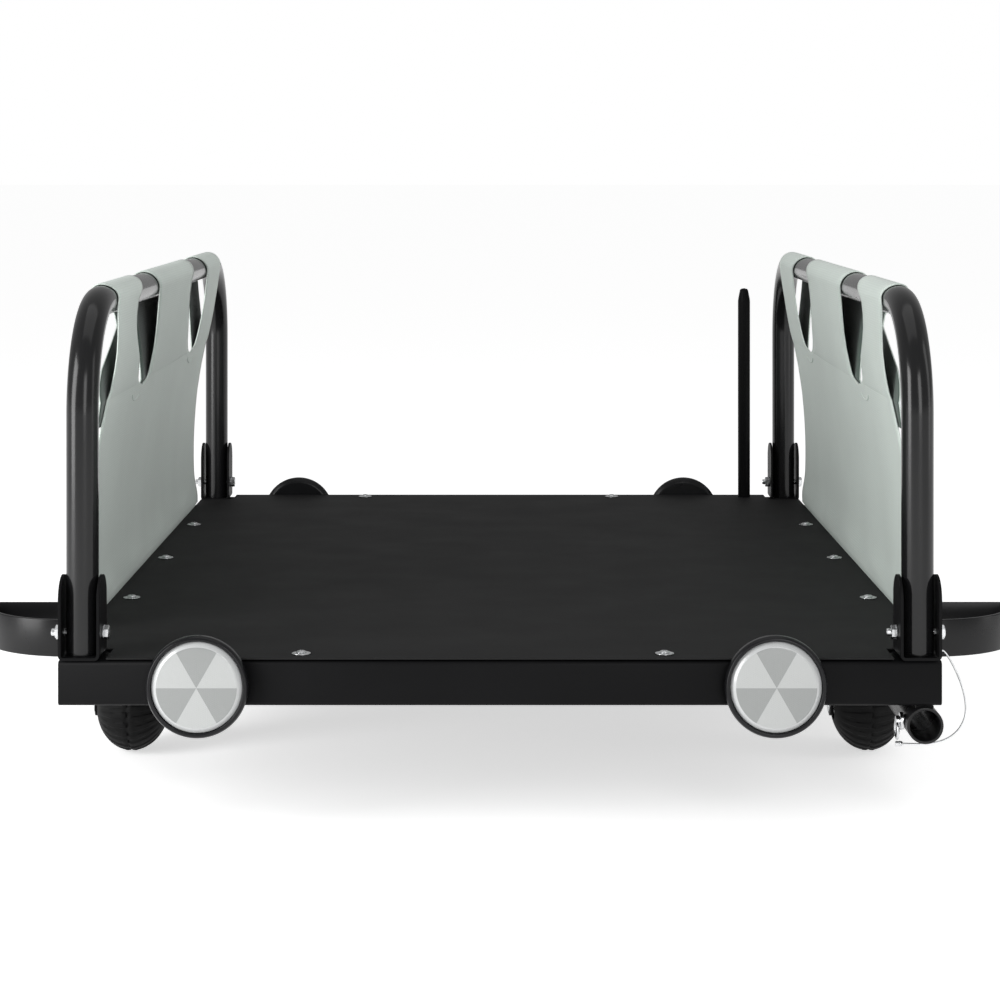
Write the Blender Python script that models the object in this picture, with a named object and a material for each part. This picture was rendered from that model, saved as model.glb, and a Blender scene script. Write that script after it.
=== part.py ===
"""Low rolling rack: a steel deck frame, two tube hoops with slings, four swivel casters, round reflectors."""

import math

import bmesh
import bpy
import numpy as np
from mathutils import Vector

# Driving dimensions, in metres. The front of the rack faces -Y and the floor is at z = 0.
FRAME_WIDTH = 0.692
FRAME_LENGTH = 0.915
RAIL = 0.035
RAIL_WALL = 0.002
RAIL_CORNER = 0.003
CASTER_STACK = 0.022
GAP = 0.0003

DECK_THICKNESS = 0.001
DECK_INSET = 0.0006
HEM_THICKNESS = 0.0006
NOTCH_SIDE_GAP = 0.0051
NOTCH_END_GAP = 0.0020
LOAD_MARGIN = 0.012
LOAD_REAR_MARGIN = 0.035

TUBE = 0.0254
TUBE_WALL = 0.0015
LEG_PLAY = 0.0013
HOOP_BEND = 0.085
BAR_HEIGHT = 0.411

BRACKET_PLATE = 0.0022
BRACKET_DEPTH = 0.036
BRACKET_HEIGHT = 0.065
BOLT_RISE = 0.0195
BOLT_RADIUS = 0.003
HEAD_ACROSS = 0.010
HEAD_HEIGHT = 0.005
THREAD_END = 0.003

SCREW_SHANK = 0.0020
SCREW_PLAY = 0.0004
WASHER_RADIUS = 0.0075
SCREW_HEAD = 0.0040
FRONT_SCREWS_X = (-0.157, 0.130)
SIDE_SCREWS_Y = (-0.200, 0.013, 0.226)

REFLECTOR_RADIUS = 0.040
REFLECTOR_DEPTH = 0.011
REFLECTOR_RIM = 0.004
REFLECTOR_DROP = 0.001
REFLECTOR_INSETS = (0.1098, 0.1308)
LENS_CLEARANCE = 0.0004

SLING_FRONT_GAP = 0.088
SLING_BACK_GAP = 0.052
FRONT_STRAP = 0.153
REAR_STRAP = 0.131
SLOT_WIDTH = 0.079
STRAP_BEND_GAP = 0.001
SLING_THICKNESS = 0.0016
STRAP_THICKNESS = 0.0012
SLOT_DEPTH = 0.083
SLING_LEAN = 0.004
SLING_TUCK = 0.002
SLING_FOOT_GAP = 0.0003

LOOP_BAR = 0.003
LOOP_HEIGHT = 0.030
LOOP_INSET = 0.0555
LOOP_DEPTH = 0.076
LOOP_REACH = 0.078
LOOP_DROP = 0.008

RECEIVER_RADIUS = 0.0143
RECEIVER_WALL = 0.0022
RECEIVER_LENGTH = 0.150
RECEIVER_INSET = 0.013
PAD_THICKNESS = 0.0015
PIN_RADIUS = 0.0040
PIN_INSET = 0.0175
PIN_REACH = 0.0025
PIN_COLLAR = 0.0070
PIN_RING = 0.0068
PIN_WIRE = 0.0011
FIT = 0.0003

POST_RADIUS = 0.0070
POST_TOP_RADIUS = 0.0040
POST_TAPER = 0.014
POST_HEIGHT = 0.380
POST_INSET = 0.0619

CASTER_INSET = 0.2425
CASTER_TRAIL = 0.025
WHEEL_RADIUS = 0.039
WHEEL_HALF_WIDTH = 0.0305
HUB_RADIUS = 0.012
AXLE_RADIUS = 0.004
FORK_PLATE = 0.0025
FORK_BRIDGE = 0.003
STEM_RADIUS = 0.005
RACE_RADIUS = 0.017
CASTER_PLATE = 0.003
CASTER_PLATE_LENGTH = 0.070

CORD_RADIUS = 0.00075
CORD_START = (0.3470, -0.4400, 0.1400)
CORD_ROUTE = (
    (0.3510, -0.4402, 0.1390),
    (0.3570, -0.4404, 0.1300),
    (0.3630, -0.4406, 0.1170),
    (0.3670, -0.4408, 0.1030),
    (0.3675, -0.4410, 0.0900),
    (0.3630, -0.4410, 0.0790),
    (0.3550, -0.4408, 0.0715),
    (0.3450, -0.4404, 0.0675),
    (0.3340, -0.4400, 0.0660),
    (0.3250, -0.4398, 0.0660),
)
CORD_END = (0.3186, -0.4396, 0.0662)
FERRULE_LENGTH = 0.006
FERRULE_RADIUS = 0.0022

# Places that follow from the sizes above.
CLEARANCE = 2 * WHEEL_RADIUS + CASTER_STACK
RAIL_TOP = CLEARANCE + RAIL
RAIL_MIDDLE = CLEARANCE + RAIL / 2
SIDE = FRAME_WIDTH / 2
FRONT = -FRAME_LENGTH / 2
HEM_LOW = RAIL_TOP + GAP
DECK_LOW = HEM_LOW + HEM_THICKNESS + GAP
DECK_TOP = DECK_LOW + DECK_THICKNESS
SCREW_HOLE = SCREW_SHANK + SCREW_PLAY
LEG_Y = -FRONT - RAIL / 2
BRACKET_INNER = TUBE / 2 + LEG_PLAY
BRACKET_OUTER = BRACKET_INNER + BRACKET_PLATE
HOOP_X = SIDE - BRACKET_OUTER
BRACKET_LOW = RAIL_TOP + GAP
BOLT_Z = RAIL_TOP + BOLT_RISE
REFLECTORS_X = (REFLECTOR_INSETS[0] - SIDE, SIDE - REFLECTOR_INSETS[1])
SLING_FRONT = SLING_FRONT_GAP - LEG_Y
SLING_BACK = LEG_Y - SLING_BACK_GAP
STRAP_END = LEG_Y - HOOP_BEND - STRAP_BEND_GAP
STRAPS_Y = (
    (SLING_FRONT, SLING_FRONT + FRONT_STRAP),
    (SLING_FRONT + FRONT_STRAP + SLOT_WIDTH, STRAP_END - REAR_STRAP - SLOT_WIDTH),
    (STRAP_END - REAR_STRAP, STRAP_END),
)
LOOP_FRONT = FRONT + LOOP_INSET
LOOP_BACK = LOOP_FRONT + LOOP_DEPTH
LOOP_LOW = RAIL_TOP - LOOP_DROP
RECEIVER_X = SIDE - RECEIVER_INSET
POST_X = SIDE - POST_INSET
CASTER_X = SIDE - RAIL / 2
CASTERS_Y = (FRONT + CASTER_INSET, -FRONT - CASTER_INSET)
SIDE_NAMES = ((-1, "left"), (1, "right"))
END_NAMES = ((-1, "front"), (1, "rear"))


def clear_scene():
    for item in list(bpy.data.objects):
        bpy.data.objects.remove(item, do_unlink=True)


def finish(name, color, roughness, metallic):
    material = bpy.data.materials.get(name) or bpy.data.materials.new(name)
    material.use_nodes = True
    shader = material.node_tree.nodes["Principled BSDF"]
    shader.inputs["Base Color"].default_value = (*color, 1.0)
    shader.inputs["Roughness"].default_value = roughness
    shader.inputs["Metallic"].default_value = metallic
    return material


def black_steel():
    return finish("black_steel", (0.012, 0.012, 0.013), 0.35, 0.0)


def zinc():
    return finish("zinc", (0.62, 0.63, 0.64), 0.30, 1.0)


def rubber():
    return finish("rubber", (0.015, 0.015, 0.016), 0.75, 0.0)


def plastic():
    return finish("black_plastic", (0.010, 0.010, 0.011), 0.30, 0.0)


def lens_clear():
    return finish("lens", (0.72, 0.73, 0.74), 0.15, 0.0)


def fabric():
    return finish("sage_fabric", (0.36, 0.41, 0.38), 0.80, 0.0)


def add_mesh(name, points, faces, material):
    """Puts one closed mesh in the scene with its faces pointing out."""
    mesh = bpy.data.meshes.new(name)
    mesh.from_pydata([tuple(point) for point in points], [], faces)
    shape = bmesh.new()
    shape.from_mesh(mesh)
    bmesh.ops.remove_doubles(shape, verts=shape.verts, dist=1e-6)
    bmesh.ops.recalc_face_normals(shape, faces=shape.faces)
    shape.to_mesh(mesh)
    shape.free()
    mesh.materials.append(material)
    mesh.shade_smooth()
    mesh.set_sharp_from_angle(angle=math.radians(35))
    item = bpy.data.objects.new(name, mesh)
    bpy.context.scene.collection.objects.link(item)
    return item


def combine(target, other, operation):
    """Joins another shape to the target, or cuts it away."""
    other.hide_render = True
    other.display_type = "WIRE"
    modifier = target.modifiers.new(other.name, "BOOLEAN")
    modifier.operation = operation
    modifier.object = other
    modifier.solver = "EXACT"


def oriented(outline, start, end, axis):
    """Two copies of a flat outline, at both ends of a stretch along X, Y or Z."""
    order = {"X": (2, 0, 1), "Y": (0, 2, 1), "Z": (0, 1, 2)}[axis]
    points = []
    for level in (start, end):
        for first, second in outline:
            point = (first, second, level)
            points.append(tuple(point[place] for place in order))
    return points


def prism(name, outline, start, end, axis, material):
    """A flat outline drawn out along an axis."""
    count = len(outline)
    faces = []
    for index in range(count):
        after = (index + 1) % count
        faces.append([index, after, after + count, index + count])
    faces.append(list(range(count))[::-1])
    faces.append(list(range(count, 2 * count)))
    return add_mesh(name, oriented(outline, start, end, axis), faces, material)


def hollow_prism(name, outer, inner, start, end, axis, material):
    """Two matching outlines drawn out along an axis, with the space inside left open."""
    count = len(outer)
    points = oriented(outer, start, end, axis) + oriented(inner, start, end, axis)
    faces = []
    for index in range(count):
        after = (index + 1) % count
        faces.append([index, after, after + count, index + count])
        faces.append([2 * count + index, 3 * count + index, 3 * count + after, 2 * count + after])
        faces.append([index, 2 * count + index, 2 * count + after, after])
        faces.append([index + count, after + count, 3 * count + after, 3 * count + index])
    return add_mesh(name, points, faces, material)


def box(name, low, high, material):
    outline = ((low[0], low[1]), (high[0], low[1]), (high[0], high[1]), (low[0], high[1]))
    return prism(name, outline, low[2], high[2], "Z", material)


def circle(center, radius, sides, phase=0.0):
    angles = [phase + 2 * math.pi * step / sides for step in range(sides)]
    return [(center[0] + radius * math.cos(angle), center[1] + radius * math.sin(angle)) for angle in angles]


def rounded_square(center, half, corner, steps=3):
    """A square outline with round corners."""
    points = []
    for quarter in range(4):
        middle = math.pi / 4 + quarter * math.pi / 2
        corner_x = center[0] + (half - corner) * math.copysign(1, math.cos(middle))
        corner_y = center[1] + (half - corner) * math.copysign(1, math.sin(middle))
        for step in range(steps):
            angle = quarter * math.pi / 2 + step / (steps - 1) * math.pi / 2
            points.append((corner_x + corner * math.cos(angle), corner_y + corner * math.sin(angle)))
    return points


def tombstone(center, half, low, high, steps=8):
    """An outline with a flat foot and a half-round top."""
    points = [(center - half, low), (center + half, low)]
    for step in range(steps + 1):
        angle = math.pi * step / steps
        points.append((center + half * math.cos(angle), high - half + half * math.sin(angle)))
    return points


def turned(name, profile, place, axis, sides, material, closed=False):
    """A profile of (height, radius) turned round an axis through a place."""
    points = []
    faces = []
    rings = []
    for height, radius in profile:
        if radius < 1e-6:
            rings.append([len(points)])
            points.append((0.0, 0.0, height))
            continue
        rings.append(list(range(len(points), len(points) + sides)))
        points += [(*spot, height) for spot in circle((0.0, 0.0), radius, sides)]
    pairs = list(zip(rings, rings[1:]))
    if closed:
        pairs.append((rings[-1], rings[0]))
    for lower, upper in pairs:
        for index in range(sides):
            after = (index + 1) % sides
            corners = [lower[index % len(lower)], lower[after % len(lower)]]
            corners += [upper[after % len(upper)], upper[index % len(upper)]]
            faces.append(list(dict.fromkeys(corners)))
    order = {"X": (2, 0, 1), "Y": (0, 2, 1), "Z": (0, 1, 2)}[axis]
    turned_points = [tuple(place[row] + point[order[row]] for row in range(3)) for point in points]
    return add_mesh(name, turned_points, faces, material)


def drill(target, name, places, radius, reach, axis, sides=10):
    """Cuts straight round holes, each reaching the same length both ways from its place."""
    for number, place in enumerate(places):
        profile = ((-reach, 0.0), (-reach, radius), (reach, radius), (reach, 0.0))
        cutter = turned(f"{name}_{number}", profile, place, axis, sides, black_steel())
        combine(target, cutter, "DIFFERENCE")


def make_frame():
    half = RAIL / 2
    for end, end_name in END_NAMES:
        center = (end * (-FRONT - half), RAIL_MIDDLE)
        outer = rounded_square(center, half, RAIL_CORNER)
        inner = rounded_square(center, half - RAIL_WALL, RAIL_CORNER - RAIL_WALL)
        rail = hollow_prism(f"{end_name}_rail", outer, inner, -SIDE, SIDE, "X", black_steel())
        places = [(x, end * (-FRONT - half), RAIL_TOP) for x in FRONT_SCREWS_X]
        drill(rail, f"{end_name}_rail_hole", places, SCREW_HOLE, 2 * RAIL_WALL, "Z", 8)
        if end > 0:
            post_place = (POST_X, center[0], RAIL_TOP)
            drill(rail, "rail_post_hole", [post_place], POST_RADIUS + FIT, 2 * RAIL_WALL, "Z", 14)
    reach = -FRONT - RAIL - GAP
    for side, side_name in SIDE_NAMES:
        center = (side * (SIDE - half), RAIL_MIDDLE)
        outer = rounded_square(center, half, RAIL_CORNER)
        inner = rounded_square(center, half - RAIL_WALL, RAIL_CORNER - RAIL_WALL)
        rail = hollow_prism(f"{side_name}_rail", outer, inner, -reach, reach, "Y", black_steel())
        places = [(side * (SIDE - half), y, RAIL_TOP) for y in SIDE_SCREWS_Y]
        drill(rail, f"{side_name}_rail_hole", places, SCREW_HOLE, 2 * RAIL_WALL, "Z", 8)
    outer = rounded_square((0.0, RAIL_MIDDLE), half, RAIL_CORNER)
    inner = rounded_square((0.0, RAIL_MIDDLE), half - RAIL_WALL, RAIL_CORNER - RAIL_WALL)
    reach = SIDE - RAIL - GAP
    hollow_prism("center_rail", outer, inner, -reach, reach, "X", black_steel())


def screw_places():
    half = RAIL / 2
    places = []
    for end, end_name in END_NAMES:
        for number, x in enumerate(FRONT_SCREWS_X):
            places.append((f"deck_screw_{end_name}_{number + 1}", (x, end * (-FRONT - half))))
    for side, side_name in SIDE_NAMES:
        for number, y in enumerate(SIDE_SCREWS_Y):
            places.append((f"deck_screw_{side_name}_{number + 1}", (side * (SIDE - half), y)))
    return places


def split_flat(item, cuts):
    """Scores a sheet along planes across X or Y, so that its clear middle is a face of its own."""
    shape = bmesh.new()
    shape.from_mesh(item.data)
    for place, axis in cuts:
        spot = [0.0, 0.0, 0.0]
        normal = [0.0, 0.0, 0.0]
        spot[axis] = place
        normal[axis] = 1.0
        everything = shape.verts[:] + shape.edges[:] + shape.faces[:]
        bmesh.ops.bisect_plane(shape, geom=everything, dist=1e-7, plane_co=spot, plane_no=normal)
    shape.to_mesh(item.data)
    shape.free()


def make_deck():
    """A thin sheet with its four corners notched round the brackets, and one hole for each screw."""
    reach_x = SIDE - DECK_INSET
    reach_y = -FRONT - DECK_INSET
    notch_x = SIDE - 2 * BRACKET_OUTER - NOTCH_SIDE_GAP
    notch_y = LEG_Y - BRACKET_DEPTH / 2 - NOTCH_END_GAP
    outline = []
    for sign_x, sign_y in ((1, -1), (1, 1), (-1, 1), (-1, -1)):
        corner = [(notch_x, reach_y), (notch_x, notch_y), (reach_x, notch_y)]
        if sign_x == sign_y:
            corner.reverse()
        outline += [(sign_x * x, sign_y * y) for x, y in corner]
    deck = prism("deck", outline, DECK_LOW, DECK_TOP, "Z", black_steel())
    inner = RAIL + LOAD_MARGIN
    cuts = ((SIDE - inner, 0), (inner - SIDE, 0), (FRONT + inner, 1), (-FRONT - inner - LOAD_REAR_MARGIN, 1))
    split_flat(deck, cuts)
    places = [(x, y, DECK_LOW) for _, (x, y) in screw_places()]
    drill(deck, "deck_hole", places, SCREW_HOLE, 3 * DECK_THICKNESS, "Z", 8)
    post_place = (POST_X, -FRONT - RAIL / 2, DECK_LOW)
    drill(deck, "deck_post_hole", [post_place], POST_RADIUS + FIT, 3 * DECK_THICKNESS, "Z", 14)


def make_screws():
    seat = DECK_TOP + GAP
    washer_top = seat + 0.0008
    head_top = washer_top + 0.0018
    foot = RAIL_TOP - 2.5 * RAIL_WALL
    profile = (
        (foot, 0.0),
        (foot, SCREW_SHANK),
        (seat, SCREW_SHANK),
        (seat, WASHER_RADIUS),
        (washer_top, WASHER_RADIUS),
        (washer_top, SCREW_HEAD),
        (washer_top + 0.0011, 0.8 * SCREW_HEAD),
        (head_top, 0.0),
    )
    for name, (x, y) in screw_places():
        turned(name, profile, (x, y, 0.0), "Z", 8, zinc())


def make_hoops():
    """A tube bent into two legs and a top bar, left open at both feet."""
    foot = BRACKET_LOW + BRACKET_PLATE + GAP
    steps = 8
    path = [(-LEG_Y, foot, 1.0, 0.0)]
    for sign in (-1, 1):
        for step in range(steps + 1):
            angle = math.pi / 2 * step / steps
            if sign > 0:
                angle = math.pi / 2 - angle
            y = sign * (LEG_Y - HOOP_BEND + HOOP_BEND * math.cos(angle))
            z = BAR_HEIGHT - HOOP_BEND + HOOP_BEND * math.sin(angle)
            path.append((y, z, -sign * math.cos(angle), -math.sin(angle)))
    path.append((LEG_Y, foot, -1.0, 0.0))
    sides = 12
    for side, side_name in SIDE_NAMES:
        points = []
        for radius in (TUBE / 2, TUBE / 2 - TUBE_WALL):
            for y, z, normal_y, normal_z in path:
                for across, inward in circle((0.0, 0.0), radius, sides):
                    points.append((side * HOOP_X + across, y + inward * normal_y, z + inward * normal_z))
        faces = []
        ring_count = len(path)
        for skin in range(2):
            for ring in range(ring_count - 1):
                base = (skin * ring_count + ring) * sides
                for index in range(sides):
                    after = (index + 1) % sides
                    faces.append([base + index, base + after, base + sides + after, base + sides + index])
        for ring in (0, ring_count - 1):
            for index in range(sides):
                after = (index + 1) % sides
                outer = ring * sides
                inner = (ring_count + ring) * sides
                faces.append([outer + index, outer + after, inner + after, inner + index])
        hoop = add_mesh(f"hoop_{side_name}", points, faces, black_steel())
        places = [(side * HOOP_X, end * LEG_Y, BOLT_Z) for end in (-1, 1)]
        drill(hoop, f"hoop_{side_name}_hole", places, BOLT_RADIUS + FIT, TUBE, "X", 8)


def make_brackets():
    """A U of plate under each leg, with a bolt along X through both cheeks and the tube."""
    for end, end_name in END_NAMES:
        for side, side_name in SIDE_NAMES:
            name = f"bracket_{end_name}_{side_name}"
            middle = (side * HOOP_X, end * LEG_Y)
            outline = tombstone(middle[1], BRACKET_DEPTH / 2, BRACKET_LOW, RAIL_TOP + BRACKET_HEIGHT)
            plate = prism(
                name, outline, middle[0] - BRACKET_OUTER, middle[0] + BRACKET_OUTER, "X", black_steel()
            )
            channel = box(
                f"{name}_channel",
                (middle[0] - BRACKET_INNER, middle[1] - BRACKET_DEPTH, BRACKET_LOW + BRACKET_PLATE),
                (middle[0] + BRACKET_INNER, middle[1] + BRACKET_DEPTH, RAIL_TOP + 2 * BRACKET_HEIGHT),
                black_steel(),
            )
            combine(plate, channel, "DIFFERENCE")
            drill(plate, f"{name}_hole", [(*middle, BOLT_Z)], BOLT_RADIUS + FIT, 2 * BRACKET_OUTER, "X", 8)
            make_bolt(f"bolt_{end_name}_{side_name}", (*middle, BOLT_Z))


def make_bolt(name, place):
    """A hexagon bolt along X, its head on the +X cheek, and its nut and thread's end on the other."""
    seat = BRACKET_OUTER + GAP
    tip = seat + HEAD_HEIGHT + THREAD_END
    profile = (
        (-tip, 0.0),
        (-tip, BOLT_RADIUS),
        (seat + HEAD_HEIGHT - GAP, BOLT_RADIUS),
        (seat + HEAD_HEIGHT - GAP, 0.0),
    )
    bolt = turned(name, profile, place, "X", 8, zinc())
    for number, sign in enumerate((-1, 1)):
        outline = circle(place[1:], HEAD_ACROSS / 2 / math.cos(math.pi / 6), 6)
        first = place[0] + sign * seat
        second = place[0] + sign * (seat + HEAD_HEIGHT)
        ends = (min(first, second), max(first, second))
        hexagon = prism(f"{name}_hexagon_{number}", outline, *ends, "X", zinc())
        combine(bolt, hexagon, "UNION")


def make_reflectors():
    """A round cup with a raised rim on each end rail, and a domed lens in it."""
    sides = 24
    inner = REFLECTOR_RADIUS - REFLECTOR_RIM
    floor = 0.45 * REFLECTOR_DEPTH
    cup = (
        (0.0, 0.0),
        (0.0, 0.9 * REFLECTOR_RADIUS),
        (0.2 * REFLECTOR_DEPTH, REFLECTOR_RADIUS),
        (0.8 * REFLECTOR_DEPTH, REFLECTOR_RADIUS),
        (REFLECTOR_DEPTH, REFLECTOR_RADIUS - 0.4 * REFLECTOR_RIM),
        (REFLECTOR_DEPTH, inner),
        (floor, inner),
        (floor, 0.0),
    )
    lens_radius = inner - LENS_CLEARANCE
    lens_low = floor + GAP
    lens = (
        (lens_low, 0.0),
        (lens_low, lens_radius),
        (0.85 * REFLECTOR_DEPTH, lens_radius),
        (1.05 * REFLECTOR_DEPTH, 0.93 * lens_radius),
        (1.05 * REFLECTOR_DEPTH, 0.0),
    )
    for end, end_name in END_NAMES:
        face = end * (-FRONT + GAP)
        for x, side_name in zip(REFLECTORS_X, ("left", "right")):
            place = (x, face, RAIL_MIDDLE - REFLECTOR_DROP)
            name = f"reflector_{end_name}_{side_name}"
            cup_profile = [(end * height, radius) for height, radius in cup]
            lens_profile = [(end * height, radius) for height, radius in lens]
            turned(f"{name}_cup", cup_profile, place, "Y", sides, plastic())
            turned(f"{name}_lens", lens_profile, place, "Y", sides, lens_clear())


def sling_path(side):
    """The middle line of the hanging panel in the X-Z plane, from the sewn join to the hem under the deck."""
    top = BAR_HEIGHT - SLOT_DEPTH
    drop = top - DECK_TOP
    points = []
    reach = SIDE + SLING_FOOT_GAP - HOOP_X - SLING_LEAN + SLING_TUCK
    for share in np.linspace(0.0, 1.0, 9):
        out = reach * math.sin(math.pi * min(share / 0.8, 1.0) / 2) - SLING_TUCK * max(share - 0.8, 0.0) / 0.2
        points.append((HOOP_X + SLING_LEAN + out, top - share * drop))
    points += [(SIDE + 0.0013, DECK_LOW - 0.0001), (SIDE - 0.0005, HEM_LOW + HEM_THICKNESS / 2)]
    points.append((SIDE - RAIL + 0.006, HEM_LOW + HEM_THICKNESS / 2))
    return [(side * x, z) for x, z in points]


def ribbon(path, widths):
    """The outline of a strip with the given widths along a path."""
    points = np.array(path)
    ahead = np.gradient(points, axis=0)
    ahead[-1] = points[-1] - points[-2]
    normals = np.stack([-ahead[:, 1], ahead[:, 0]], axis=1)
    normals /= np.linalg.norm(normals, axis=1)[:, None]
    offset = normals * (np.array(widths) / 2)[:, None]
    return [tuple(point) for point in np.concatenate([points + offset, (points - offset)[::-1]])]


def teardrop(side, radius, tip):
    """A round loop over the bar that closes to a point below it."""
    points = []
    for step in range(9):
        angle = math.radians(-12 + 204 * step / 8)
        points.append((side * HOOP_X + radius * math.cos(angle), BAR_HEIGHT + radius * math.sin(angle)))
    points.append((side * (HOOP_X + 0.004), tip))
    return points


def make_slings():
    """A hanging panel whose three straps loop over the bar and whose hem lies under the deck's edge."""
    widths = [SLING_THICKNESS] * 9 + [HEM_THICKNESS] * 3
    join = BAR_HEIGHT - SLOT_DEPTH
    inner_radius = TUBE / 2 + 2 * GAP
    for side, side_name in SIDE_NAMES:
        name = f"sling_{side_name}"
        outline = ribbon(sling_path(side), widths)
        panel = prism(name, outline, SLING_FRONT, SLING_BACK, "Y", fabric())
        for number, (start, end) in enumerate(STRAPS_Y):
            strap = hollow_prism(
                f"{name}_strap_{number}",
                teardrop(side, inner_radius + STRAP_THICKNESS, join - 0.012),
                teardrop(side, inner_radius, join + 0.004),
                start,
                end,
                "Y",
                fabric(),
            )
            combine(panel, strap, "UNION")
        places = [(side * (SIDE - RAIL / 2), y, HEM_LOW) for y in SIDE_SCREWS_Y]
        drill(panel, f"{name}_hole", places, SCREW_HOLE, 3 * HEM_THICKNESS, "Z", 8)


def make_side_loops():
    """A flat bar bowed out from each side of the frame, its back arm straight."""
    steps = 9
    start = SIDE + GAP
    depth = LOOP_BACK - LOOP_FRONT
    for side, side_name in SIDE_NAMES:
        path = [(start, LOOP_FRONT)]
        for step in range(1, steps + 1):
            angle = math.pi / 2 * step / steps
            x = start + LOOP_REACH * math.sin(angle)
            path.append((x, LOOP_BACK - LOOP_BAR - (depth - LOOP_BAR) * math.cos(angle)))
        path += [(start + LOOP_REACH - 0.004, LOOP_BACK), (start, LOOP_BACK)]
        outline = ribbon([(side * x, y) for x, y in path], [LOOP_BAR] * len(path))
        name = f"side_loop_{side_name}"
        loop = prism(name, outline, LOOP_LOW, LOOP_LOW + LOOP_HEIGHT, "Z", black_steel())
        near = side * (SIDE - 0.004)
        far = side * (SIDE + 0.007)
        relief = box(
            f"{name}_relief",
            (min(near, far), LOOP_BACK - 0.01, RAIL_TOP - 2 * GAP),
            (max(near, far), LOOP_BACK + 0.01, LOOP_LOW + 2 * LOOP_HEIGHT),
            black_steel(),
        )
        combine(loop, relief, "DIFFERENCE")


def receiver_axis():
    return CLEARANCE - GAP - PAD_THICKNESS - RECEIVER_RADIUS + 0.0004


def make_receiver():
    """An open tube on a pad under the right rail, with a pin in its wall that pulls out to the middle."""
    height = receiver_axis()
    outer = circle((RECEIVER_X, height), RECEIVER_RADIUS, 20)
    inner = circle((RECEIVER_X, height), RECEIVER_RADIUS - RECEIVER_WALL, 20)
    end = FRONT + RECEIVER_LENGTH
    tube = hollow_prism("receiver_tube", outer, inner, FRONT, end, "Y", black_steel())
    pad = box(
        "receiver_pad",
        (RECEIVER_X - 0.010, FRONT + 0.004, CLEARANCE - GAP - PAD_THICKNESS - 0.001),
        (RECEIVER_X + 0.010, end - 0.004, CLEARANCE - GAP),
        black_steel(),
    )
    combine(tube, pad, "UNION")
    place = (RECEIVER_X, FRONT + PIN_INSET, height)
    hole = (place[0] - RECEIVER_RADIUS, place[1], height)
    drill(tube, "receiver_hole", [hole], PIN_RADIUS + FIT, RECEIVER_RADIUS, "X", 12)
    seat = -RECEIVER_RADIUS - GAP
    tip = PIN_REACH + RECEIVER_WALL - RECEIVER_RADIUS
    profile = (
        (seat - 0.0060, 0.0),
        (seat - 0.0060, 0.6 * PIN_COLLAR),
        (seat - 0.0035, 0.6 * PIN_COLLAR),
        (seat - 0.0030, PIN_COLLAR),
        (seat, PIN_COLLAR),
        (seat, PIN_RADIUS),
        (tip - 0.001, PIN_RADIUS),
        (tip, 0.8 * PIN_RADIUS),
        (tip, 0.0),
    )
    pin = turned("cross_pin", profile, place, "X", 12, zinc())
    ring_place = (place[0] + seat - 0.0050, place[1], height - PIN_RING)
    wire = circle((0.0, PIN_RING), PIN_WIRE, 6)
    combine(pin, turned("cross_pin_ring", wire, ring_place, "X", 14, zinc(), closed=True), "UNION")


def make_post():
    """A round post with a tapered tip, standing through the deck in the hollow of the rear rail."""
    floor = CLEARANCE + RAIL_WALL + GAP
    post = (
        (floor, 0.0),
        (floor, POST_RADIUS),
        (POST_HEIGHT - POST_TAPER, POST_RADIUS),
        (POST_HEIGHT, POST_TOP_RADIUS),
        (POST_HEIGHT, 0.0),
    )
    turned("rear_post", post, (POST_X, -FRONT - RAIL / 2, 0.0), "Z", 14, black_steel())


def wheel_profile():
    """Half of the tyre is an ellipse from the hub's face to the tread."""
    steps = 6
    first = math.asin(HUB_RADIUS / WHEEL_RADIUS)
    half = [(0.94 * WHEEL_HALF_WIDTH, AXLE_RADIUS + FIT)]
    for step in range(steps):
        angle = first + (math.radians(79) - first) * step / (steps - 1)
        half.append((WHEEL_HALF_WIDTH * math.cos(angle) / math.cos(first), WHEEL_RADIUS * math.sin(angle)))
    half.append((WHEEL_HALF_WIDTH * math.cos(math.radians(81)), WHEEL_RADIUS))
    return half + [(-across, radius) for across, radius in reversed(half)]


def make_casters():
    """A fixed race under the rail, a fork that swivels in it, and a balloon wheel on the fork's axle."""
    inside = WHEEL_HALF_WIDTH + 0.0005
    outside = inside + FORK_PLATE
    bridge_low = 2 * WHEEL_RADIUS + 0.0055
    bridge_top = bridge_low + FORK_BRIDGE
    race_low = bridge_top + GAP
    plate_top = CLEARANCE - GAP
    plate_low = plate_top - CASTER_PLATE
    for end, end_name in END_NAMES:
        for side, side_name in SIDE_NAMES:
            tail = f"{end_name}_{side_name}"
            x = side * CASTER_X
            y = CASTERS_Y[0] if end < 0 else CASTERS_Y[1]
            race = (
                (plate_low - 0.0003, 0.0),
                (plate_low - 0.0003, STEM_RADIUS + FIT),
                (race_low, STEM_RADIUS + FIT),
                (race_low, RACE_RADIUS),
                (plate_low + 0.0005, RACE_RADIUS),
                (plate_low + 0.0005, 0.0),
            )
            base = turned(f"caster_base_{tail}", race, (x, y, 0.0), "Z", 16, black_steel())
            plate = box(
                f"caster_plate_{tail}",
                (x - RAIL / 2, y - CASTER_PLATE_LENGTH / 2, plate_low),
                (x + RAIL / 2, y + CASTER_PLATE_LENGTH / 2, plate_top),
                black_steel(),
            )
            combine(base, plate, "UNION")
            make_fork(tail, x, y, (inside, outside, bridge_low, bridge_top), plate_low - 0.001)
            center = (x, y + CASTER_TRAIL, WHEEL_RADIUS)
            turned(f"caster_wheel_{tail}", wheel_profile(), center, "X", 20, rubber(), closed=True)


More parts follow.
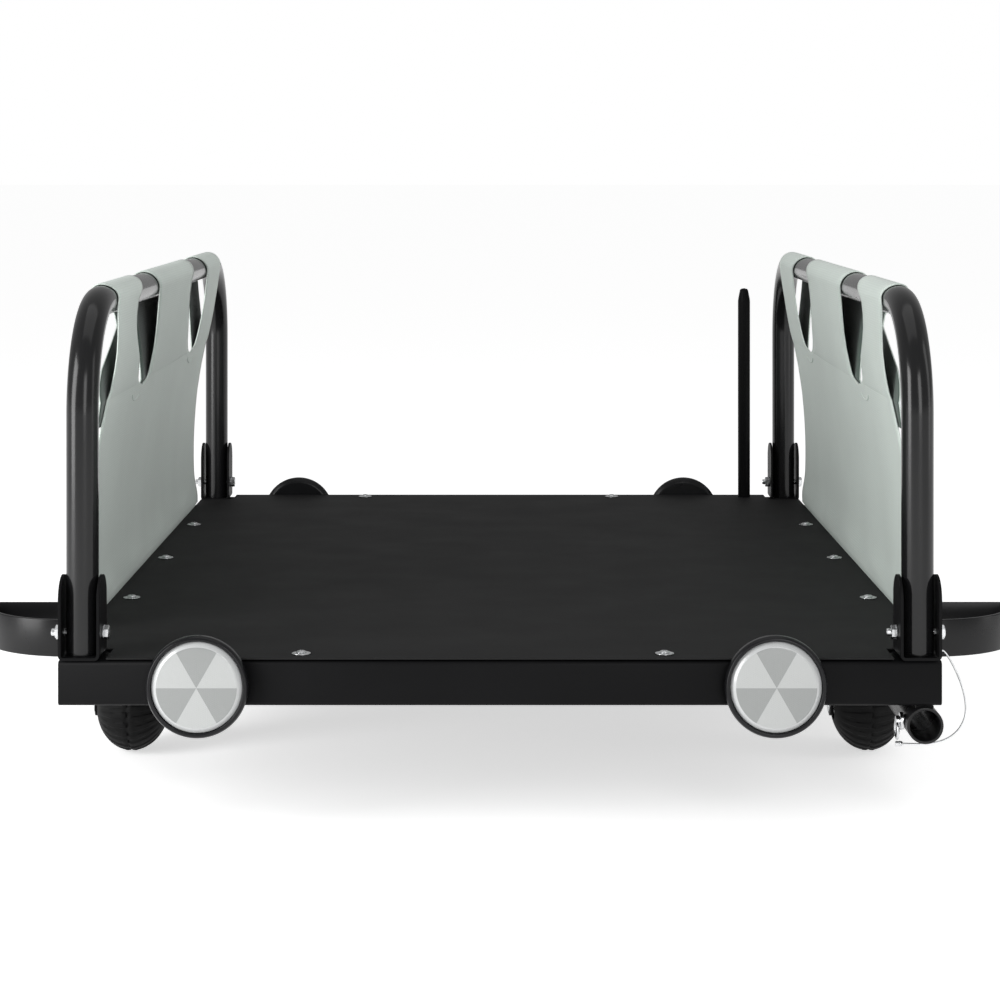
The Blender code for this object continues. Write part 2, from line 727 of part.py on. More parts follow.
def make_fork(tail, x, y, levels, stem_top):
    inside, outside, bridge_low, bridge_top = levels
    axle_y = y + CASTER_TRAIL
    end_radius = 2.2 * AXLE_RADIUS
    outline = [(y - RACE_RADIUS, bridge_top), (y - RACE_RADIUS, bridge_low - 0.004)]
    for step in range(7):
        angle = math.pi + math.pi * step / 6
        outline.append((axle_y + end_radius * math.cos(angle), WHEEL_RADIUS + end_radius * math.sin(angle)))
    outline += [(axle_y + 0.012, bridge_low - 0.004), (axle_y + 0.012, bridge_top)]
    fork = prism(f"caster_fork_{tail}", outline, x - outside, x + outside, "X", black_steel())
    space = box(
        f"caster_space_{tail}",
        (x - inside, y - 0.1, -0.01),
        (x + inside, y + 0.1, bridge_low),
        black_steel(),
    )
    combine(fork, space, "DIFFERENCE")
    reach = outside - 0.0002
    axle = ((-reach, 0.0), (-reach, AXLE_RADIUS), (reach, AXLE_RADIUS), (reach, 0.0))
    combine(fork, turned(f"caster_axle_{tail}", axle, (x, axle_y, WHEEL_RADIUS), "X", 10, zinc()), "UNION")
    stem = (
        (bridge_top - 0.001, 0.0),
        (bridge_top - 0.001, STEM_RADIUS),
        (stem_top, STEM_RADIUS),
        (stem_top, 0.0),
    )
    combine(fork, turned(f"caster_stem_{tail}", stem, (x, y, 0.0), "Z", 10, zinc()), "UNION")


def smooth_route(knots, count):
    """Points along a smooth curve through the knots, evenly spaced."""
    fine = []
    padded = [knots[0], *knots, knots[-1]]
    for index in range(1, len(padded) - 2):
        before, here, after, later = (Vector(padded[index + shift]) for shift in (-1, 0, 1, 2))
        for step in range(12):
            t = step / 12
            spot = 2 * here + (after - before) * t
            spot += (2 * before - 5 * here + 4 * after - later) * t * t
            spot += (3 * here - before - 3 * after + later) * t * t * t
            fine.append(spot / 2)
    fine.append(Vector(knots[-1]))
    fine = np.array([tuple(spot) for spot in fine])
    along = np.concatenate([[0.0], np.cumsum(np.linalg.norm(np.diff(fine, axis=0), axis=1))])
    wanted = np.linspace(0.0, along[-1], count)
    return np.stack([np.interp(wanted, along, fine[:, axis]) for axis in range(3)], axis=1)


def make_lanyard():
    """A thin cord from the right front bracket, round the receiver tube, to the ferrule by the pin's ring."""
    route = smooth_route((CORD_START, *CORD_ROUTE, CORD_END), 34)
    data = bpy.data.curves.new("lanyard", "CURVE")
    data.dimensions = "3D"
    data.bevel_depth = CORD_RADIUS
    data.bevel_resolution = 2
    data.use_fill_caps = True
    spline = data.splines.new("POLY")
    spline.points.add(len(route) - 1)
    for point, place in zip(spline.points, route):
        point.co = (*place, 1.0)
    data.materials.append(zinc())
    lanyard = bpy.data.objects.new("lanyard", data)
    bpy.context.scene.collection.objects.link(lanyard)
    tip = Vector(CORD_END) - Vector((GAP, 0.0, 0.0))
    profile = (
        (-FERRULE_LENGTH, 0.0),
        (-FERRULE_LENGTH, 0.8 * FERRULE_RADIUS),
        (-0.8 * FERRULE_LENGTH, FERRULE_RADIUS),
        (-0.2 * FERRULE_LENGTH, FERRULE_RADIUS),
        (0.0, 0.8 * FERRULE_RADIUS),
        (0.0, 0.0),
    )
    turned("lanyard_ferrule", profile, tip, "X", 10, zinc())


def main():
    clear_scene()
    make_frame()
    make_deck()
    make_screws()
    make_hoops()
    make_brackets()
    make_reflectors()
    make_slings()
    make_side_loops()
    make_receiver()
    make_post()
    make_casters()
    make_lanyard()


main()
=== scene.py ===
import math

import bmesh
import bpy
import numpy as np
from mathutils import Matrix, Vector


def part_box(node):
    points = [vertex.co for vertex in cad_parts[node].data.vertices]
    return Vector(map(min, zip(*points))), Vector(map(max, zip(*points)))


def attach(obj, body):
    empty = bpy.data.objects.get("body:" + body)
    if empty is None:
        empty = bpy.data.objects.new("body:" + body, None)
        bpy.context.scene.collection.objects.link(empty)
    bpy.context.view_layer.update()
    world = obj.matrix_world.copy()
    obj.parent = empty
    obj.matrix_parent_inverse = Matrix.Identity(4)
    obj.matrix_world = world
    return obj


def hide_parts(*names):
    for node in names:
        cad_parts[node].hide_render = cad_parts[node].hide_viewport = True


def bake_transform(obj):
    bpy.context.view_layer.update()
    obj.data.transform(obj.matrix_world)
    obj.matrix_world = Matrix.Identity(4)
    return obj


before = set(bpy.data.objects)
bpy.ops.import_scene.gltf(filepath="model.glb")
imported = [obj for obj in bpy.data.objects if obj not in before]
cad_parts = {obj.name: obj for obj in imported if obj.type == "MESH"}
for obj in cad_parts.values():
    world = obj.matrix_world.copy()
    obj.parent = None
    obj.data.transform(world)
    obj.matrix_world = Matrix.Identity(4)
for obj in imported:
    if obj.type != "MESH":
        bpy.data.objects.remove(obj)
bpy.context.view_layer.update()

# Log rack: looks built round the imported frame. Metres, front towards -Y, floor at z = 0.
sides = ((-1, "left"), (1, "right"))
ends = ((-1, "front"), (1, "rear"))
full = 2 * math.pi


# A node's lowest and highest corners as arrays, and from them its middle and its size.
def cornersOf(node):
    return (np.array(corner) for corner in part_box(node))


def middleOf(node):
    low, high = cornersOf(node)
    return (low + high) / 2


def sizeOf(node):
    low, high = cornersOf(node)
    return high - low


# Camera, stage and light.

view = {"place": (0.0, -2.2965, 0.5234), "lens": 84.6, "shift": -0.335}
studio = {"floor": (0.90, 0.90, 0.90), "glow": 0.60, "backdrop": 1.0, "sky": 0.42,
          "left": 34.0, "front": 16.0, "right": 3.5, "top": 7.0}


def addCamera():
    data = bpy.data.cameras.new("camera")
    data.lens = view["lens"]
    data.sensor_width = 36.0
    data.shift_y = view["shift"]
    camera = bpy.data.objects.new("camera", data)
    camera.location = view["place"]
    camera.rotation_euler = (math.pi / 2, 0.0, 0.0)
    bpy.context.scene.collection.objects.link(camera)
    bpy.context.scene.camera = camera


def addLamp(name, place, target, size, power):
    data = bpy.data.lights.new(name, "AREA")
    data.shape = "RECTANGLE"
    data.size, data.size_y = size
    data.energy = power
    lamp = bpy.data.objects.new(name, data)
    lamp.location = place
    aim = np.array(target) - np.array(place)
    flat = math.hypot(aim[0], aim[1])
    lamp.rotation_euler = (math.atan2(flat, -aim[2]), 0.0, math.atan2(-aim[0], aim[1]))
    bpy.context.scene.collection.objects.link(lamp)


# The backdrop is pale where it is seen, and the light that it gives off is dimmer.
def addStage():
    world = bpy.data.worlds.new("studio")
    bpy.context.scene.world = world
    bpy.context.scene.view_settings.view_transform = "Standard"
    world.use_nodes = True
    tree = world.node_tree
    seen = addNode(tree, "ShaderNodeLightPath").outputs["Is Camera Ray"]
    strength = addNode(tree, "ShaderNodeMapRange", inputs={0: seen, 3: studio["sky"], 4: studio["backdrop"]})
    tree.nodes["Background"].inputs["Color"].default_value = (1.0, 1.0, 1.0, 1.0)
    tree.links.new(strength.outputs[0], tree.nodes["Background"].inputs["Strength"])
    reach = 60.0
    mesh = bpy.data.meshes.new("floor")
    mesh.from_pydata([(-reach, -reach, -0.0006), (reach, -reach, -0.0006), (reach, reach, -0.0006),
                      (-reach, reach, -0.0006)], [], [(0, 1, 2, 3)])
    paint, _, shader = shaderOf("floor_paint")
    shader.inputs["Base Color"].default_value = (*studio["floor"], 1.0)
    shader.inputs["Roughness"].default_value = 1.0
    shader.inputs["Specular IOR Level"].default_value = 0.0
    shader.inputs["Emission Color"].default_value = (1.0, 1.0, 1.0, 1.0)
    shader.inputs["Emission Strength"].default_value = studio["glow"]
    mesh.materials.append(paint)
    floor = bpy.data.objects.new("floor", mesh)
    bpy.context.scene.collection.objects.link(floor)
    addLamp("left", (-1.75, -1.30, 0.75), (0.0, -0.2, 0.25), (0.9, 1.5), studio["left"])
    addLamp("front", (0.75, -2.60, 0.95), (0.0, 0.0, 0.25), (0.8, 1.6), studio["front"])
    addLamp("right", (1.90, -0.55, 0.80), (0.0, 0.0, 0.25), (0.5, 1.5), studio["right"])
    addLamp("top", (0.0, -0.2, 2.3), (0.0, 0.0, 0.1), (2.0, 1.6), studio["top"])


# Materials.

def shaderOf(name):
    material = bpy.data.materials.new(name)
    material.use_nodes = True
    return material, material.node_tree, material.node_tree.nodes["Principled BSDF"]


def addNode(tree, kind, settings=None, inputs=None):
    node = tree.nodes.new(kind)
    for key, value in (settings or {}).items():
        setattr(node, key, value)
    for key, value in (inputs or {}).items():
        if isinstance(value, bpy.types.NodeSocket):
            tree.links.new(value, node.inputs[key])
        else:
            node.inputs[key].default_value = value
    return node


def ramp(tree, source, low, high, first, second):
    node = addNode(tree, "ShaderNodeValToRGB", inputs={0: source})
    node.color_ramp.elements[0].position = low
    node.color_ramp.elements[1].position = high
    node.color_ramp.elements[0].color = (*first, 1.0)
    node.color_ramp.elements[1].color = (*second, 1.0)
    return node.outputs[0]


def noise(tree, place, scale, detail):
    inputs = {"Vector": place, "Scale": scale, "Detail": detail}
    return addNode(tree, "ShaderNodeTexNoise", inputs=inputs).outputs[0]


def multiply(tree, first, second):
    settings = {"data_type": "RGBA", "blend_type": "MULTIPLY"}
    return addNode(tree, "ShaderNodeMix", settings, {0: 1.0, 6: first, 7: second}).outputs[2]


def reckon(tree, operation, *values):
    return addNode(tree, "ShaderNodeMath", {"operation": operation}, dict(enumerate(values))).outputs[0]


def addBump(tree, shader, height, strength, distance):
    inputs = {"Height": height, "Strength": strength, "Distance": distance}
    bump = addNode(tree, "ShaderNodeBump", inputs=inputs)
    tree.links.new(bump.outputs[0], shader.inputs["Normal"])


# Roughness between two values, along a noise's middle part.
def addSpread(tree, shader, source, smoothest, roughest):
    spread = addNode(tree, "ShaderNodeMapRange", inputs={0: source, 1: 0.3, 2: 0.7, 3: smoothest, 4: roughest})
    tree.links.new(spread.outputs[0], shader.inputs["Roughness"])


# Powder coat: an even black with a faint cloudiness, an orange-peel bump and a little spread in its roughness.
def powderCoat(name, color, roughness, specular, peel=0.12, scale=900.0, cloud=0.85):
    material, tree, shader = shaderOf(name)
    place = addNode(tree, "ShaderNodeTexCoord").outputs["Object"]
    drift = noise(tree, place, 14.0, 4.0)
    shade = [cloud * value for value in color]
    tree.links.new(ramp(tree, drift, 0.3, 0.7, shade, color), shader.inputs["Base Color"])
    addSpread(tree, shader, drift, roughness - 0.03, roughness + 0.04)
    addBump(tree, shader, noise(tree, place, scale, 2.0), peel, 0.0002)
    shader.inputs["Specular IOR Level"].default_value = specular
    return material


# Zinc plate: bright metal with faint blotches, which also make its bump and its spread in roughness.
def zincPlate(name, color=(0.70, 0.71, 0.72), roughness=0.24):
    material, tree, shader = shaderOf(name)
    place = addNode(tree, "ShaderNodeTexCoord").outputs["Object"]
    cloud = noise(tree, place, 160.0, 3.0)
    shade = [0.78 * value for value in color]
    tree.links.new(ramp(tree, cloud, 0.35, 0.65, shade, color), shader.inputs["Base Color"])
    addSpread(tree, shader, cloud, roughness - 0.05, roughness + 0.10)
    addBump(tree, shader, cloud, 0.10, 0.0002)
    shader.inputs["Metallic"].default_value = 1.0
    return material


# Plain weave: two crossed waves on the cloth's own UV map in metres, with soft blotches of shade.
def wovenCloth(name, color, threads=900.0, roughness=0.78, depth=0.35):
    material, tree, shader = shaderOf(name)
    spot = addNode(tree, "ShaderNodeTexCoord").outputs["UV"]
    place = addNode(tree, "ShaderNodeTexCoord").outputs["Object"]
    waves = []
    for direction in ("X", "Y"):
        inputs = {"Vector": spot, "Scale": threads / 6.2, "Distortion": 0.4, "Detail Scale": 2.0}
        wave = addNode(tree, "ShaderNodeTexWave", {"bands_direction": direction}, inputs)
        waves.append(wave.outputs["Fac"])
    both = reckon(tree, "MAXIMUM", *waves)
    fibre = noise(tree, spot, 1400.0, 2.0)
    tone = ramp(tree, noise(tree, place, 9.0, 5.0), 0.25, 0.75, [0.90 * value for value in color], color)
    thread = ramp(tree, both, 0.2, 0.9, (0.90, 0.90, 0.90), (1.0, 1.0, 1.0))
    hair = ramp(tree, fibre, 0.3, 0.7, (0.93, 0.93, 0.93), (1.0, 1.0, 1.0))
    tree.links.new(multiply(tree, multiply(tree, tone, thread), hair), shader.inputs["Base Color"])
    addBump(tree, shader, reckon(tree, "MULTIPLY_ADD", fibre, 0.5, both), depth, 0.0003)
    shader.inputs["Roughness"].default_value = roughness
    shader.inputs["Sheen Weight"].default_value = 0.25
    shader.inputs["Sheen Roughness"].default_value = 0.5
    shader.inputs["Specular IOR Level"].default_value = 0.3
    return material


# Rubber: near-black, dusty in patches, with a grainy bump.
def tyreRubber(name, dark=(0.0040, 0.0040, 0.0043), dusty=(0.0085, 0.0085, 0.0085)):
    material, tree, shader = shaderOf(name)
    place = addNode(tree, "ShaderNodeTexCoord").outputs["Object"]
    shade = ramp(tree, noise(tree, place, 60.0, 6.0), 0.3, 0.75, dark, dusty)
    tree.links.new(shade, shader.inputs["Base Color"])
    addBump(tree, shader, noise(tree, place, 1300.0, 3.0), 0.25, 0.0003)
    shader.inputs["Roughness"].default_value = 0.58
    shader.inputs["Specular IOR Level"].default_value = 0.09
    return material


# Reflector lens: six sectors by angle on the lens's UV map, centred at (0, 0), light and dark by turns, under
# a fine three-way prism pattern that also paints faint glints into the colour; the bevelled rim has a tint of
# its own, a painted highlight where the bevel catches the light.
def prismLens(name, light, dark, rim, paintedHighlightStart=0.885):
    material, tree, shader = shaderOf(name)
    spot = addNode(tree, "ShaderNodeTexCoord").outputs["UV"]
    parts = addNode(tree, "ShaderNodeSeparateXYZ", inputs={0: spot})
    angle = reckon(tree, "ARCTAN2", parts.outputs[1], parts.outputs[0])
    part = reckon(tree, "FRACT", reckon(tree, "MULTIPLY_ADD", angle, 3 / full, 3.0))
    sectors = {0: reckon(tree, "GREATER_THAN", part, 0.5), 6: (*light, 1), 7: (*dark, 1)}
    tint = addNode(tree, "ShaderNodeMix", {"data_type": "RGBA"}, sectors)
    distance = addNode(tree, "ShaderNodeVectorMath", {"operation": "LENGTH"}, {0: spot}).outputs["Value"]
    # Near the edge the rim tint takes over: painted highlight on the bevel.
    whole = {0: reckon(tree, "GREATER_THAN", distance, paintedHighlightStart), 6: tint.outputs[2], 7: (*rim, 1)}
    final = addNode(tree, "ShaderNodeMix", {"data_type": "RGBA"}, whole)
    height = 0.0
    for turnBy in (0.0, math.pi / 3, 2 * math.pi / 3):
        spun = addNode(tree, "ShaderNodeMapping", inputs={"Vector": spot, "Rotation": (0.0, 0.0, turnBy)})
        inputs = {"Vector": spun.outputs[0], "Scale": 8.0}
        wave = addNode(tree, "ShaderNodeTexWave", {"wave_profile": "TRI"}, inputs)
        height = reckon(tree, "ADD", height, wave.outputs["Fac"])
    mean = reckon(tree, "MULTIPLY", height, 0.33)
    # Painted glints: the prism waves lighten and darken the colour a little.
    glint = ramp(tree, mean, 0.2, 0.8, (0.93, 0.93, 0.93), (1.0, 1.0, 1.0))
    tree.links.new(multiply(tree, final.outputs[2], glint), shader.inputs["Base Color"])
    addBump(tree, shader, height, 0.10, 0.0004)
    shader.inputs["Roughness"].default_value = 0.16
    shader.inputs["Coat Weight"].default_value = 0.6
    shader.inputs["Coat Roughness"].default_value = 0.04
    return material


# Mesh helpers.

# Quads of a grid of rows by columns, wrapped in either direction where asked.
def gridFaces(rows, columns, wrapRows=False, wrapColumns=False):
    row = np.arange(rows if wrapRows else rows - 1)
    column = np.arange(columns if wrapColumns else columns - 1)
    r, c = np.meshgrid(row, column, indexing="ij")
    nextR, nextC = (r + 1) % rows, (c + 1) % columns
    corners = ((r, c), (r, nextC), (nextR, nextC), (nextR, c))
    return np.stack([a * columns + b for a, b in corners], axis=-1).reshape(-1, 4)


# A mesh object from arrays; doubles are merged, faces turned outwards, and edges past the angle kept sharp.
def putMesh(name, points, faces, material, sharp=35.0, flip=False, uv=None, merge=2e-6):
    mesh = bpy.data.meshes.new(name)
    corners = np.asarray(points, float).reshape(-1, 3).tolist()
    mesh.from_pydata(corners, [], [list(map(int, face)) for face in faces])
    if uv is not None:
        layer = mesh.uv_layers.new(name="UVMap")
        used = np.empty(len(mesh.loops), dtype=np.int32)
        mesh.loops.foreach_get("vertex_index", used)
        layer.data.foreach_set("uv", np.asarray(uv, np.float32).reshape(-1, 2)[used].ravel())
    shape = bmesh.new()
    shape.from_mesh(mesh)
    bmesh.ops.remove_doubles(shape, verts=shape.verts, dist=merge)
    bmesh.ops.dissolve_degenerate(shape, edges=shape.edges, dist=1e-7)
    bmesh.ops.recalc_face_normals(shape, faces=shape.faces)
    if flip:
        bmesh.ops.reverse_faces(shape, faces=shape.faces)
    shape.to_mesh(mesh)
    shape.free()
    mesh.shade_smooth()
    mesh.set_sharp_from_angle(angle=math.radians(sharp))
    for entry in material if isinstance(material, (list, tuple)) else [material]:
        mesh.materials.append(entry)
    item = bpy.data.objects.new(name, mesh)
    bpy.context.scene.collection.objects.link(item)
    return item


def settle(item, body, slot, *nodes):
    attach(item, body)
    if nodes:
        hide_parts(*nodes)
    return item


def bevel(item, width, segments=2, angle=30.0):
    modifier = item.modifiers.new("edge", "BEVEL")
    modifier.width = width
    modifier.segments = segments
    modifier.limit_method = "ANGLE"
    modifier.angle_limit = math.radians(angle)
    return item


# A turned profile with each inner corner rounded by an arc of the given radius, a few points to a corner.
def softProfile(profile, radius, steps=4):
    corners = [np.array(point, float) for point in profile]
    points = [corners[0]]
    for before, here, after in zip(corners, corners[1:], corners[2:]):
        back, ahead = before - here, after - here
        reach = min(radius, 0.45 * np.linalg.norm(back), 0.45 * np.linalg.norm(ahead))
        first = here + back / np.linalg.norm(back) * reach
        last = here + ahead / np.linalg.norm(ahead) * reach
        share = np.linspace(0.0, 1.0, steps + 1)[:, None]
        points += list((1 - share) ** 2 * first + 2 * share * (1 - share) * here + share ** 2 * last)
    points.append(corners[-1])
    return np.array(points)


# Radius of a hexagon against the angle, for one unit from its middle to a flat.
def hexagon(angle):
    return 1.0 / np.cos((angle + math.pi / 6) % (math.pi / 3) - math.pi / 6)


# A profile of (height, radius) turned round an axis through a place. hexRows marks the rows whose radius
# follows a hexagon, and shape may change the whole grid of radii.
def turned(name, profile, place, axis, material, count=48, hexRows=None, shape=None, closed=False, sharp=35.0,
           uv=False):
    profile = np.asarray(profile, float)
    angle = np.arange(count) / count * full
    radius = np.repeat(profile[:, 1:2], count, axis=1)
    if hexRows is not None:
        marked = np.zeros(len(profile), bool)
        marked[list(hexRows)] = True
        radius = np.where(marked[:, None], radius * hexagon(angle)[None, :], radius)
    if shape is not None:
        radius = shape(radius, profile[:, 0:1], angle[None, :])
    height = np.repeat(profile[:, 0:1], count, axis=1)
    flat = {"X": (height, radius * np.cos(angle), radius * np.sin(angle)),
            "Y": (radius * np.cos(angle), height, radius * np.sin(angle)),
            "Z": (radius * np.cos(angle), radius * np.sin(angle), height)}[axis]
    points = np.stack(flat, axis=-1) + np.array(place)
    disc = None
    if uv:
        top = profile[:, 1].max()
        disc = np.stack([radius * np.cos(angle) / top, radius * np.sin(angle) / top], axis=-1)
    faces = gridFaces(len(profile), count, wrapRows=closed, wrapColumns=True)
    return putMesh(name, points, faces, material, sharp=sharp, uv=disc)


# A flat section carried along a path: each section point sits at path + a * side + b * up.
def swept(name, path, section, sideways, upright, material, wrap=False, capped=True, sharp=35.0):
    path, section = np.asarray(path, float), np.asarray(section, float)
    points = (path[:, None, :] + section[None, :, 0:1] * sideways[:, None, :]
              + section[None, :, 1:2] * upright[:, None, :])
    rows, columns = len(path), len(section)
    faces = [list(face) for face in gridFaces(rows, columns, wrapRows=wrap, wrapColumns=True)]
    if capped and not wrap:
        faces.append(list(range(columns))[::-1])
        faces.append(list(range((rows - 1) * columns, rows * columns)))
    return putMesh(name, points, faces, material, sharp=sharp)


# Outline of a rectangle with round corners, as (across, up) pairs.
def roundedBox(width, height, corner, steps=5):
    turn = np.linspace(0.0, math.pi / 2, steps)
    outline = []
    for quarter, (signX, signY) in enumerate(((1, 1), (-1, 1), (-1, -1), (1, -1))):
        angle = turn + quarter * math.pi / 2
        outline.append(np.stack([signX * (width / 2 - corner) + corner * np.cos(angle),
                                 signY * (height / 2 - corner) + corner * np.sin(angle)], axis=1))
    return np.concatenate(outline)


def ringOutline(radius, count):
    angle = np.arange(count) / count * full
    return np.stack([radius * np.cos(angle), radius * np.sin(angle)], axis=1)


# Points evenly spaced along a line of knots.
def evenly(knots, count):
    knots = np.asarray(knots, float)
    along = np.concatenate([[0.0], np.cumsum(np.linalg.norm(np.diff(knots, axis=0), axis=1))])
    wanted = np.linspace(0.0, along[-1], count)
    return np.stack([np.interp(wanted, along, knots[:, axis]) for axis in range(knots.shape[1])], axis=1)


# Catmull-Rom curve through the knots: each span is a cubic of its four nearest knots.
def smoothRoute(knots, count):
    knots = np.asarray(knots, float)
    padded = np.concatenate([knots[:1], knots, knots[-1:]])
    before, here, after, later = padded[:-3, None], padded[1:-2, None], padded[2:-1, None], padded[3:, None]
    t = (np.arange(12) / 12)[None, :, None]
    fine = (2 * here + (after - before) * t + (2 * before - 5 * here + 4 * after - later) * t ** 2
            + (3 * here - before - 3 * after + later) * t ** 3) / 2
    return evenly(np.concatenate([fine.reshape(-1, 3), knots[-1:]]), count)


# Unit directions along a path, and two more at right angles to it, the second as upright as it can be.
def framesOf(path, up=(0.0, 0.0, 1.0)):
    ahead = np.gradient(path, axis=0)
    ahead /= np.linalg.norm(ahead, axis=1)[:, None]
    sideways = np.cross(ahead, np.array(up))
    sideways /= np.linalg.norm(sideways, axis=1)[:, None]
    return ahead, sideways, np.cross(sideways, ahead)


# Finishes.

hoopBlack = powderCoat("hoop_black", (0.007, 0.007, 0.0075), 0.17, 0.34, peel=0.04)
frameBlack = powderCoat("frame_black", (0.006, 0.006, 0.0064), 0.45, 0.06)
deckBlack = powderCoat("deck_black", (0.0150, 0.0150, 0.0152), 0.66, 0.08, peel=0.2, scale=700.0, cloud=0.92)
loopBlack = powderCoat("loop_black", (0.007, 0.007, 0.0075), 0.28, 0.26)
moulded = powderCoat("moulded_black", (0.007, 0.007, 0.008), 0.28, 0.22, peel=0.04)
zinc = zincPlate("zinc_plate")
wire = zincPlate("lanyard_wire", (0.78, 0.79, 0.80), 0.38)
rubber = tyreRubber("tyre_rubber")
frontLens = prismLens("front_lens", (0.41, 0.42, 0.415), (0.25, 0.26, 0.255), (0.50, 0.51, 0.51))
rearLens = prismLens("rear_lens", (0.42, 0.015, 0.012), (0.27, 0.010, 0.008), (0.36, 0.014, 0.012))
sage = wovenCloth("sage_cloth", (0.650, 0.725, 0.675))
# Dark cloth for the slings' back faces: painted shade, standing in for the shadow inside the folds and slots.
paintedShadeCloth = wovenCloth("cloth_painted_shade", (0.085, 0.120, 0.102), roughness=0.85)


addCamera()
addStage()
print("camera and stage done")


# Lanyard, with its ferrule and the cross pin.

# The route's points are the same as the frame's own cord.
lanyard = {
    "route": ((0.3470, -0.4400, 0.1400), (0.3510, -0.4402, 0.1390), (0.3570, -0.4404, 0.1300),
              (0.3630, -0.4406, 0.1170), (0.3670, -0.4408, 0.1030), (0.3675, -0.4410, 0.0900),
              (0.3630, -0.4410, 0.0790), (0.3550, -0.4408, 0.0715), (0.3450, -0.4404, 0.0675),
              (0.3340, -0.4400, 0.0660), (0.3250, -0.4398, 0.0660), (0.3186, -0.4396, 0.0662)),
    "diameter": 0.0015,
}


def addLanyard():
    path = smoothRoute(lanyard["route"], 90)
    _, sideways, upright = framesOf(path, (0.0, 1.0, 0.0))
    cord = swept("lanyard_cable", path, ringOutline(lanyard["diameter"] / 2, 10), sideways, upright, wire)
    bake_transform(cord)
    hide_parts("lanyard")
    middle, half = middleOf("lanyard_ferrule"), sizeOf("lanyard_ferrule")[0] / 2
    profile = softProfile(((-half, 0.0), (-half, 0.0017), (-0.6 * half, 0.0022), (-0.2 * half, 0.0018),
                           (0.2 * half, 0.0022), (0.7 * half, 0.0020), (half, 0.0012), (half, 0.0)), 0.0003)
    ferrule = turned("lanyard_crimp", profile, middle, "X", zinc, count=24)
    settle(ferrule, "pin", "zinc", "lanyard_ferrule")


pin = {"radius": 0.0040, "tip": 0.0032, "head": 0.0042, "collar": 0.0070, "ring": 0.0068, "wire": 0.0011,
       "headLength": 0.0060, "collarLength": 0.0028, "setBack": 0.0175, "play": 0.0003}


# A turned pin: head, collar and shank with a chamfered tip, and a wire ring through the head.
def addPin():
    _, high = cornersOf("cross_pin")
    tubeLow, tubeHigh = cornersOf("receiver_tube")
    wall = (tubeHigh[0] - tubeLow[0]) / 2
    axis = tubeLow[2] + wall
    y = tubeLow[1] + pin["setBack"]
    seat = tubeLow[0] - pin["play"]
    end = seat - pin["headLength"]
    neck = seat - pin["collarLength"]
    profile = softProfile(((end, 0.0), (end, pin["head"]), (neck - 0.0006, pin["head"]), (neck, pin["collar"]),
                           (seat, pin["collar"]), (seat, pin["radius"]), (high[0] - 0.001, pin["radius"]),
                           (high[0], pin["tip"]), (high[0], 0.0)), 0.0006)
    settle(turned("pin_shank", profile, (0.0, y, axis), "X", zinc, count=40), "pin", "zinc", "cross_pin")
    angle = np.arange(48) / 48 * full
    center = np.array([end + 0.0010, y, axis - pin["ring"]])
    outward = np.stack([0 * angle, np.cos(angle), np.sin(angle)], axis=1)
    across = np.tile(np.array([1.0, 0.0, 0.0]), (len(angle), 1))
    outline = ringOutline(pin["wire"], 12)
    ring = swept("pin_ring", center + pin["ring"] * outward, outline, outward, across, zinc, wrap=True)
    settle(ring, "pin", "zinc")


addLanyard()
addPin()
print("lanyard and pin done")


# Frame rails, deck and screws.

rails = {"corner": 0.0032, "wall": 0.002}


# A square tube: two rounded squares, outer and inner, joined at both open ends.
def addRail(node, axis):
    low, high = cornersOf(node)
    middle = (low + high) / 2
    size = high[2] - low[2]
    outer = roundedBox(size, size, rails["corner"], 7)
    inner = roundedBox(size - 2 * rails["wall"], size - 2 * rails["wall"], rails["corner"] - rails["wall"], 7)
    along = {"X": 0, "Y": 1}[axis]
    lip = 0.0004
    rings = [(outer * (1 - 0.02), low[along]), (outer, low[along] + lip), (outer, high[along] - lip),
             (outer * (1 - 0.02), high[along]), (inner, high[along]), (inner, low[along])]
    rows = []
    for outline, level in rings:
        row = np.zeros((len(outline), 3))
        row[:, along] = level
        row[:, 1 - along] = middle[1 - along] + outline[:, 0]
        row[:, 2] = middle[2] + outline[:, 1]
        rows.append(row)
    faces = gridFaces(len(rings), len(outer), wrapRows=True, wrapColumns=True)
    rail = putMesh(f"{node}_tube", np.stack(rows), faces, frameBlack, sharp=50.0)
    settle(rail, "frame", "black_steel", node)


# A weld bead along a line: a low round ridge whose height and width ripple along it.
def addBead(name, start, end, up, across, width=0.0030):
    count = 40
    share = np.linspace(0.0, 1.0, count)
    path = np.array(start) + share[:, None] * (np.array(end) - np.array(start))
    taper = np.minimum(1.0, 8 * np.minimum(share, 1 - share) + 0.15)
    swell = (0.75 + 0.25 * np.abs(np.sin(share * count * 0.62))) * taper
    section = ringOutline(width / 2, 12)
    points = (path[:, None, :] + section[None, :, 0:1] * swell[:, None, None] * np.array(across)
              + section[None, :, 1:2] * 0.7 * swell[:, None, None] * np.array(up))
    faces = [list(face) for face in gridFaces(count, 12, wrapColumns=True)]
    faces.append(list(range(12))[::-1])
    faces.append(list(range((count - 1) * 12, count * 12)))
    bead = putMesh(name, points, faces, frameBlack, sharp=60.0)
    settle(bead, "frame", "black_steel")


def addFrame():
    for node in ("front_rail", "rear_rail", "center_rail"):
        addRail(node, "X")
    for node in ("left_rail", "right_rail"):
        addRail(node, "Y")
    low, high = cornersOf("right_rail")
    for side, sideName in sides:
        for end, endName in ends:
            edge = side * (low[0] + 0.002)
            y = end * high[1]
            z = low[2] - 0.0002
            addBead(f"weld_{endName}_{sideName}", (edge, y, z), (edge + side * 0.030, y, z), (0.0, 0.0, 1.0),
                    (0.0, 1.0, 0.0))
    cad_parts["deck"].data.materials.clear()
    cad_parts["deck"].data.materials.append(deckBlack)
    print("rails done")


screw = {"washer": 0.0075, "washerTop": 0.0009, "rise": 0.0026, "shank": 0.0018, "head": 0.0041, "dome": 0.0016,
         "socket": 0.0013, "socketDepth": 0.0012}


